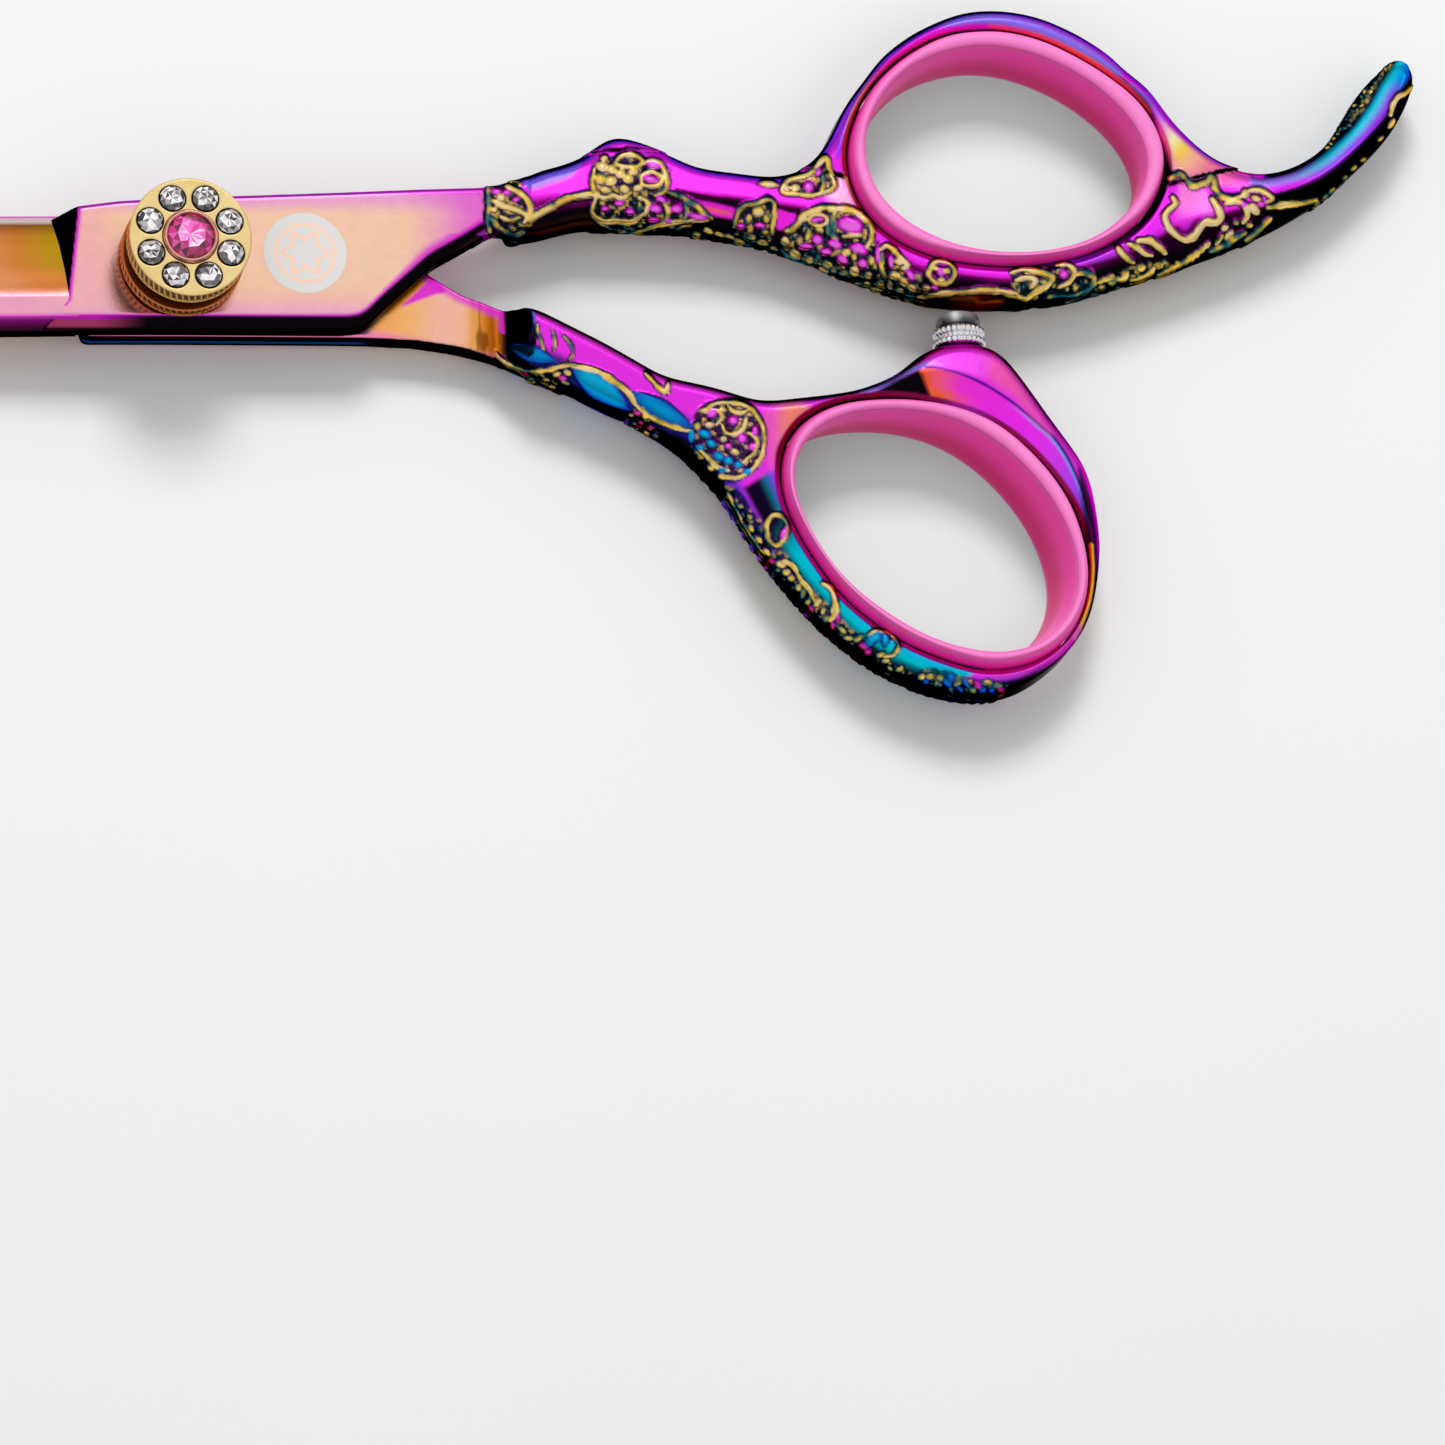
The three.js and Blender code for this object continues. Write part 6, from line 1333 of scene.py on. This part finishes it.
def dial_field(X, Y, Z):
    d = knurled(X, Y, Z, 5.22, 0.3, 60, 2.6, 3.3, 4.8, 0.1)
    r = np.hypot(X, Y)
    d = np.minimum(d, np.maximum(r - 3.6, np.abs(Z - 5.3) - 1.35))
    d = np.maximum(d, -np.maximum(r - 1.5, -5 + 0 * Z))
    d = np.maximum(d, -np.maximum(r - 2.72, 6.1 - Z))
    return d


kv = 0.068
D = small_field((-5.6, -5.6, 6.0), (5.6, 5.6, 9.0), kv, cap_field)
cap, mm, nn = surface("knob_cap_gold", D, (-5.6, -5.6, 6.0), kv)
r = np.hypot(mm[:, 0], mm[:, 1])
topc = mix(lin(246, 220, 156), lin(228, 190, 110), value_noise(mm[:, 0] * 10 + 100, mm[:, 1] * 10 + 100, 22.0, 51) * 0.5)
# painted shade in the knurl valleys
groove_shade = smooth(5.1, 4.92, r) * smooth(8.62, 8.4, mm[:, 2])
sidec = mix(lin(222, 168, 78), lin(70, 34, 12), groove_shade)
rgb = mix(sidec, topc, smooth(0.6, 0.9, nn[:, 2]))
# painted shade in the stone pockets and round the bezel recess
pocket = np.min([np.hypot(mm[:, 0] - a, mm[:, 1] - b) for a, b in STONE_XY], 0)
rgb = mix(rgb, lin(58, 38, 20), smooth(1.2, 1.12, pocket) * (mm[:, 2] > 7.0))
rgb = mix(rgb, lin(70, 40, 24), smooth(2.36, 2.3, r) * (mm[:, 2] > 7.0) * (mm[:, 2] < 8.65))
# painted shade on the faces turned down
rgb = mix(rgb, lin(30, 12, 4), smooth(-0.5, -0.8, nn[:, 2]))
paint(cap, rgb, 0.24)
add_piece(cap, GOLD_TOP, "knob", "knob_gold", "knob_cap")

D = small_field((-5.6, -5.6, 3.1), (5.6, 5.6, 6.9), kv, dial_field)
dial, mm, nn = surface("knob_dial_gold", D, (-5.6, -5.6, 3.1), kv)
r = np.hypot(mm[:, 0], mm[:, 1])
# painted shade and highlight on the dial: dark in the knurl valleys, paler on the tooth tips, copper on its top near
# the rim, near black on the inner part under the cap
rgb = mix(lin(206, 124, 44), lin(50, 18, 6), smooth(5.16, 4.98, r))
rgb = mix(rgb, lin(236, 176, 84), smooth(5.12, 5.22, r) * 0.7)
rgb = mix(rgb, lin(180, 84, 28), smooth(0.5, 0.9, nn[:, 2]) * smooth(4.0, 4.9, r))
rgb = mix(rgb, lin(16, 8, 6), smooth(4.5, 4.0, r))
paint(dial, rgb, 0.26)
add_piece(dial, GOLD_TOP, "knob", "knob_gold", "tension_dial")


def lathe(name, prof, n=72, axis="z", origin=(0, 0, 0), sharp=40):
    a = np.linspace(0, 2 * np.pi, n, endpoint=False)
    P = np.zeros((len(prof), n, 3))
    for k, (r, h) in enumerate(prof):
        if axis == "z":
            P[k] = np.stack([r * np.cos(a), r * np.sin(a), np.full(n, h)], -1)
        else:
            P[k] = np.stack([r * np.cos(a), np.full(n, h), r * np.sin(a)], -1)
    P += np.array(origin)
    closed = prof[0][0] > 0.01 and prof[0] == prof[-1]
    if closed:
        P = P[:-1]
    ob = grid_mesh(name, P, close_u=closed, close_v=True, sharp=sharp)
    bm = bmesh.new()
    bm.from_mesh(ob.data)
    bmesh.ops.remove_doubles(bm, verts=bm.verts, dist=2e-7)
    bmesh.ops.recalc_face_normals(bm, faces=bm.faces)
    bm.to_mesh(ob.data)
    bm.free()
    ob.data.polygons.foreach_set("use_smooth", np.ones(len(ob.data.polygons), bool))
    ob.data.set_sharp_from_angle(angle=math.radians(sharp))
    return ob


bezel = lathe("gem_bezel_ring", [(1.94, 8.25), (2.27, 8.25), (2.3, 8.5), (2.3, 8.8), (2.25, 8.96), (2.16, 9.08), (2.06, 9.1), (1.98, 9.02), (1.94, 8.8), (1.94, 8.25)], 80)
p, n = points_of(bezel)
paint(bezel, mix(lin(236, 176, 160), lin(150, 70, 70), smooth(8.9, 8.6, p[:, 2])), 0.25)
add_piece(bezel, GOLD_TOP, "knob", "knob_gold", "gem_bezel")


def cut_stone(name, cx, cy, R, z_girdle, z_table, z_low, table_share, turn, colours, seed, slot, mat, node, n=8):
    """faceted stone: table wedges, star and kite facets, and a lower cone"""
    rng = np.random.RandomState(seed)
    V, F, C = [], [], []

    def vert(r, a, z):
        V.append((cx + r * math.cos(a), cy + r * math.sin(a), z + LIFT))
        return len(V) - 1

    def tri(a, b, c, col):
        F.append((a, b, c))
        C.append(col)

    pick = lambda ws: colours[rng.choice(len(colours), p=np.array(ws) / sum(ws))] * (0.82 + 0.36 * rng.rand())
    st = 2 * math.pi / n
    T = [vert(R * table_share, turn + st * k, z_table) for k in range(n)]
    M = [vert(R * (table_share + 1) / 2 * 1.04, turn + st * (k + 0.5), z_table * 0.5 + z_girdle * 0.5) for k in range(n)]
    G = [vert(R, turn + st * k / 2, z_girdle) for k in range(2 * n)]
    B = [vert(R * 0.97, turn + st * k / 2, z_girdle - 0.08) for k in range(2 * n)]
    H = [vert(R * table_share * (0.45 + 0.2 * rng.rand()), turn + st * (k + 0.5), z_table) for k in range(n)]
    O = vert(R * 0.1, rng.rand() * 6.28, z_table)
    L = vert(0, 0, z_low)
    tw, cw, kw = WEIGHTS[slot]
    for k in range(n):
        k2 = (k + 1) % n
        tri(O, H[(k - 1) % n], T[k], pick(tw))
        tri(O, T[k], H[k], pick(tw))
        tri(H[k], T[k], T[k2], pick(tw))
        tri(T[k], M[k], T[k2], pick(cw))
        g0, g1, g2 = G[2 * k], G[2 * k + 1], G[(2 * k + 2) % (2 * n)]
        kite = pick(kw)
        tri(T[k], g0, M[k], kite)
        tri(T[k2], M[k], g2, kite * 0.9)
        tri(M[k], g0, g1, pick(cw))
        tri(M[k], g1, g2, pick(cw))
    for k in range(2 * n):
        k2 = (k + 1) % (2 * n)
        tri(G[k], B[k], B[k2], colours[0])
        tri(G[k], B[k2], G[k2], colours[0])
        tri(B[k], L, B[k2], pick(cw))
    vv = np.array(V)
    vv = vv[np.array(F).ravel()].reshape(-1, 3)
    ff = np.arange(len(vv)).reshape(-1, 3)
    # outward order
    cen = np.array([cx, cy, z_girdle - 0.1 + LIFT])
    tr = vv.reshape(-1, 3, 3)
    fn = np.cross(tr[:, 1] - tr[:, 0], tr[:, 2] - tr[:, 0])
    bad = (fn * (tr.mean(1) - cen)).sum(1) < 0
    ff[bad] = ff[bad][:, ::-1]
    ob = mesh_from_arrays(name, vv * 0.001, ff, np.zeros((0, 4), np.int32))
    ob.data.polygons.foreach_set("use_smooth", np.zeros(len(ob.data.polygons), bool))
    col = np.repeat(np.array(C), 3, 0)
    paint(ob, col, 0.08)
    add_piece(ob, mat, "knob", slot, node)
    return ob


# painted reflections: the facets take random tones from black to white, standing in for the light the cut stones throw
# back
CLEAR = [lin(24, 22, 24), lin(104, 98, 98), lin(178, 172, 172), lin(236, 234, 236), lin(255, 255, 255), lin(120, 84, 62)]
PINKS = [lin(96, 0, 46), lin(176, 10, 96), lin(228, 36, 146), lin(252, 96, 196), lin(255, 160, 232), lin(255, 206, 244)]
WEIGHTS = {"clear_stone": ([2, 3, 4, 5, 5, 0.6], [4, 3, 3, 2.5, 1, 0.5], [2, 3, 4, 4, 3, 0.5]), "pink_gem": ([0, 0.3, 2, 4, 3, 2], [3, 4, 3, 1, 0.3, 0], [1.5, 3, 3, 2, 0.5, 0])}
for k, (cx, cy) in enumerate(STONE_XY):
    cut_stone(f"cut_stone_{k + 1}", cx, cy, 1.07, 8.74, 9.02, 8.0, 0.62, 0.3 + k, CLEAR, 60 + k, "clear_stone", CUT_STONE, f"clear_stone_{k + 1}", 6)
cut_stone("cut_centre_gem", 0, 0, 1.93, 8.88, 9.5, 7.8, 0.62, 0.25, PINKS, 77, "pink_gem", CUT_GEM, "centre_gem", 9)

# ------------------------------------------------------------------ bumper
BX = (66.8, 0, 0)
sl = [(1.05, -6.42), (1.95, -6.42), (2.16, -6.36), (2.28, -6.2), (2.28, -5.98), (2.16, -5.82), (1.96, -5.72), (1.92, -5.6), (1.98, -5.5), (2.14, -5.42), (2.24, -5.26), (2.24, -5.04), (2.12, -4.86), (1.92, -4.74), (1.7, -4.64), (1.05, -4.62), (1.05, -6.42)]
ob = lathe("bumper_collars", sl, 168, "y", BX, 60)
cc = np.array([v.co for v in ob.data.vertices], float)
rr = np.hypot(cc[:, 0] - 0.0668, cc[:, 2] - 0.001 * LIFT)
aa = np.arctan2(cc[:, 2] - 0.001 * LIFT, cc[:, 0] - 0.0668)
bead = 1 - 0.055 * smooth(0.0017, 0.0021, rr) * (0.5 - 0.5 * np.cos(28 * aa)) ** 1.5
cc[:, 0] = 0.0668 + (cc[:, 0] - 0.0668) * bead
cc[:, 2] = 0.001 * LIFT + (cc[:, 2] - 0.001 * LIFT) * bead
ob.data.vertices.foreach_set("co", cc.astype(F32).ravel())
ob.data.update()
add_piece(ob, COLLAR, "thumb_side", "bumper_steel", "bumper_sleeve")
dm = [(0, -4.6), (1.7, -4.6), (1.84, -4.52), (1.9, -4.3), (1.88, -4.06), (1.76, -3.76), (1.54, -3.54), (1.2, -3.4), (0.8, -3.33), (0.4, -3.305), (0, -3.3)]
ob = lathe("bumper_clear_dome", dm, 64, "y", BX, 50)
p, n = points_of(ob)
# painted light and shade on the dome: dark at its foot and paler towards its top, a painted highlight stripe, a dark
# ring near its base, greyer on the side facing +x
t = smooth(-4.5, -3.4, p[:, 1])
rgb = mix(lin(36, 34, 40), lin(150, 150, 156), t)
rgb = mix(rgb, lin(235, 235, 238), np.exp(-((p[:, 0] - 66.2) / 0.34) ** 2) * smooth(0.1, 0.5, n[:, 2]) * 0.7)
rgb = mix(rgb, lin(20, 18, 24), np.exp(-((p[:, 1] + 4.45) / 0.14) ** 2) * 0.8)
rgb = mix(rgb, lin(84, 80, 88), smooth(0.2, 0.75, n[:, 0]) * 0.6)
paint(ob, rgb, 0.16)
add_piece(ob, CAPPING, "thumb_side", "bumper_cap", "bumper_dome")

# ------------------------------------------------------------------ etched round mark on the plate, a plain rosette
mc = unproject(305, 253, 2.8)
nr, na = 60, 288
R = np.r_[np.linspace(0.0, 3.5, nr), 3.52]
A = np.linspace(0, 2 * np.pi, na, endpoint=False)
P = np.zeros((len(R) + 2, na, 3))
for i, rr in enumerate(np.r_[R, 3.52, 0.0]):
    z = 2.812 if i < nr else (2.806 if i == nr else 2.79)
    P[i] = np.stack([mc[0] + rr * np.cos(A), mc[1] + rr * np.sin(A), np.full(na, z)], -1)
mark = grid_mesh("etched_round_mark", P, close_v=True)
p, n = points_of(mark)
u, v = project(p)
rr, aa = np.hypot(p[:, 0] - mc[0], p[:, 1] - mc[1]), np.arctan2(p[:, 1] - mc[1], p[:, 0] - mc[0])
base = blade_plate_colour(u, v, n, p[:, 1], np.full(len(p), 5.0))
line = np.exp(-((rr - 2.5) / 0.14) ** 2)
pet = smooth(0.12, 0.0, np.abs(rr - (1.15 + 0.75 * np.cos(3 * aa) ** 2 * 1.0)) - 0.12)
line = np.clip(np.maximum(line, pet), 0, 1)
rgb = mix(lin(224, 221, 218), base, line)
paint(mark, rgb, 0.42 - 0.18 * line)
add_piece(mark, ETCH, "finger_side", "coated_steel")

# ------------------------------------------------------------------ wave spring under the knob, shown nearly flat, as it sits with the knob screwed down
sw = [(2.04, 2.71), (2.6, 2.71), (3.2, 2.71), (3.76, 2.71), (3.8, 2.75), (3.8, 2.85), (3.76, 2.89), (3.2, 2.89), (2.6, 2.89), (2.04, 2.89), (2.0, 2.85), (2.0, 2.75), (2.04, 2.71)]
ob = lathe("wave_spring_ring", sw, 96, "z")
cc = np.array([v.co for v in ob.data.vertices], float)
cc[:, 2] += 0.00008 * np.cos(3 * np.arctan2(cc[:, 1], cc[:, 0]))
ob.data.vertices.foreach_set("co", cc.astype(F32).ravel())
ob.data.update()
add_piece(ob, SPRING, "finger_side", "plain_steel", "spring_washer")
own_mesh(ob)

# ------------------------------------------------------------------ pieces kept as model.glb holds them, with new finishes
for name, mat, slot in (("pivot_bolt", STEEL, "plain_steel"), ("blade_washer", NYLON, "washer_plastic"), ("click_washer", SPRING, "plain_steel"), ("thrust_washer", STEEL, "plain_steel"), ("bumper_stud", COLLAR, "plain_steel")):
    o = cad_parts[name]
    o.data.materials.clear()
    o.data.materials.append(mat)
    o.data.polygons.foreach_set("use_smooth", np.ones(len(o.data.polygons), bool))
    o.data.set_sharp_from_angle(angle=math.radians(30))

# ------------------------------------------------------------------ floor, light, camera
S = 3.0
fl = mesh_from_arrays("floor", np.array([(-S, -S, -0.0001), (S, -S, -0.0001), (S, S, -0.0001), (-S, S, -0.0001)]), np.zeros((0, 3), np.int32), np.array([(0, 1, 2, 3)]))
fl.data.materials.append(plain("floor_look", (243, 243, 242), 0.6, 0.0, 0.03, 20, 0.0, 50, 0.004))

world = bpy.data.worlds.new("studio")
bpy.context.scene.world = world
world.use_nodes = True
bg = world.node_tree.nodes["Background"]
tc = world.node_tree.nodes.new("ShaderNodeTexCoord")
sep = world.node_tree.nodes.new("ShaderNodeSeparateXYZ")
cr = world.node_tree.nodes.new("ShaderNodeValToRGB")
world.node_tree.links.new(tc.outputs["Generated"], sep.inputs[0])
world.node_tree.links.new(sep.outputs[2], cr.inputs[0])
world.node_tree.links.new(cr.outputs[0], bg.inputs[0])
cr.color_ramp.elements[0].position, cr.color_ramp.elements[0].color = 0.0, (0.46, 0.46, 0.48, 1)
cr.color_ramp.elements[1].position, cr.color_ramp.elements[1].color = 0.85, (1, 1, 1, 1)
lp = world.node_tree.nodes.new("ShaderNodeLightPath")
gl = world.node_tree.nodes.new("ShaderNodeMapRange")
gl.inputs[3].default_value = 0.7
gl.inputs[4].default_value = 0.82
world.node_tree.links.new(lp.outputs["Is Glossy Ray"], gl.inputs[0])
world.node_tree.links.new(gl.outputs[0], bg.inputs[1])


def area(name, loc, target, size, power, size_y=None):
    d = bpy.data.lights.new(name, "AREA")
    d.energy = power
    d.size = size
    if size_y:
        d.shape = "RECTANGLE"
        d.size_y = size_y
    o = bpy.data.objects.new(name, d)
    o.location = loc
    o.rotation_mode = "QUATERNION"
    o.rotation_quaternion = (Vector(target) - Vector(loc)).to_track_quat("-Z", "Y")
    bpy.context.scene.collection.objects.link(o)
    return o


area("key", (0.0, 0.5, 0.62), (0.03, 0, 0), 0.24, 3.3).visible_glossy = False
area("sheen", (0.2, 0.6, 0.9), (0.03, 0, 0), 0.25, 0.4)

bpy.context.scene.view_settings.view_transform = "Standard"
bpy.context.scene.view_settings.look = "None"
cam = bpy.data.cameras.new("camera")
co = bpy.data.objects.new("camera", cam)
bpy.context.scene.collection.objects.link(co)
cam.sensor_width = 36.0
cam.lens = 12.0 * DIST * 36.0 / 1445.0
cam.clip_start, cam.clip_end = 0.05, 20
M = Matrix(((CAM_R[0], CAM_U[0], CAM_V[0]), (CAM_R[1], CAM_U[1], CAM_V[1]), (CAM_R[2], CAM_U[2], CAM_V[2])))
co.rotation_mode = "QUATERNION"
co.rotation_quaternion = M.to_quaternion()
co.location = Vector((AIM + CAM_V * DIST + np.array([0, 0, LIFT])) * 0.001)
bpy.context.scene.camera = co
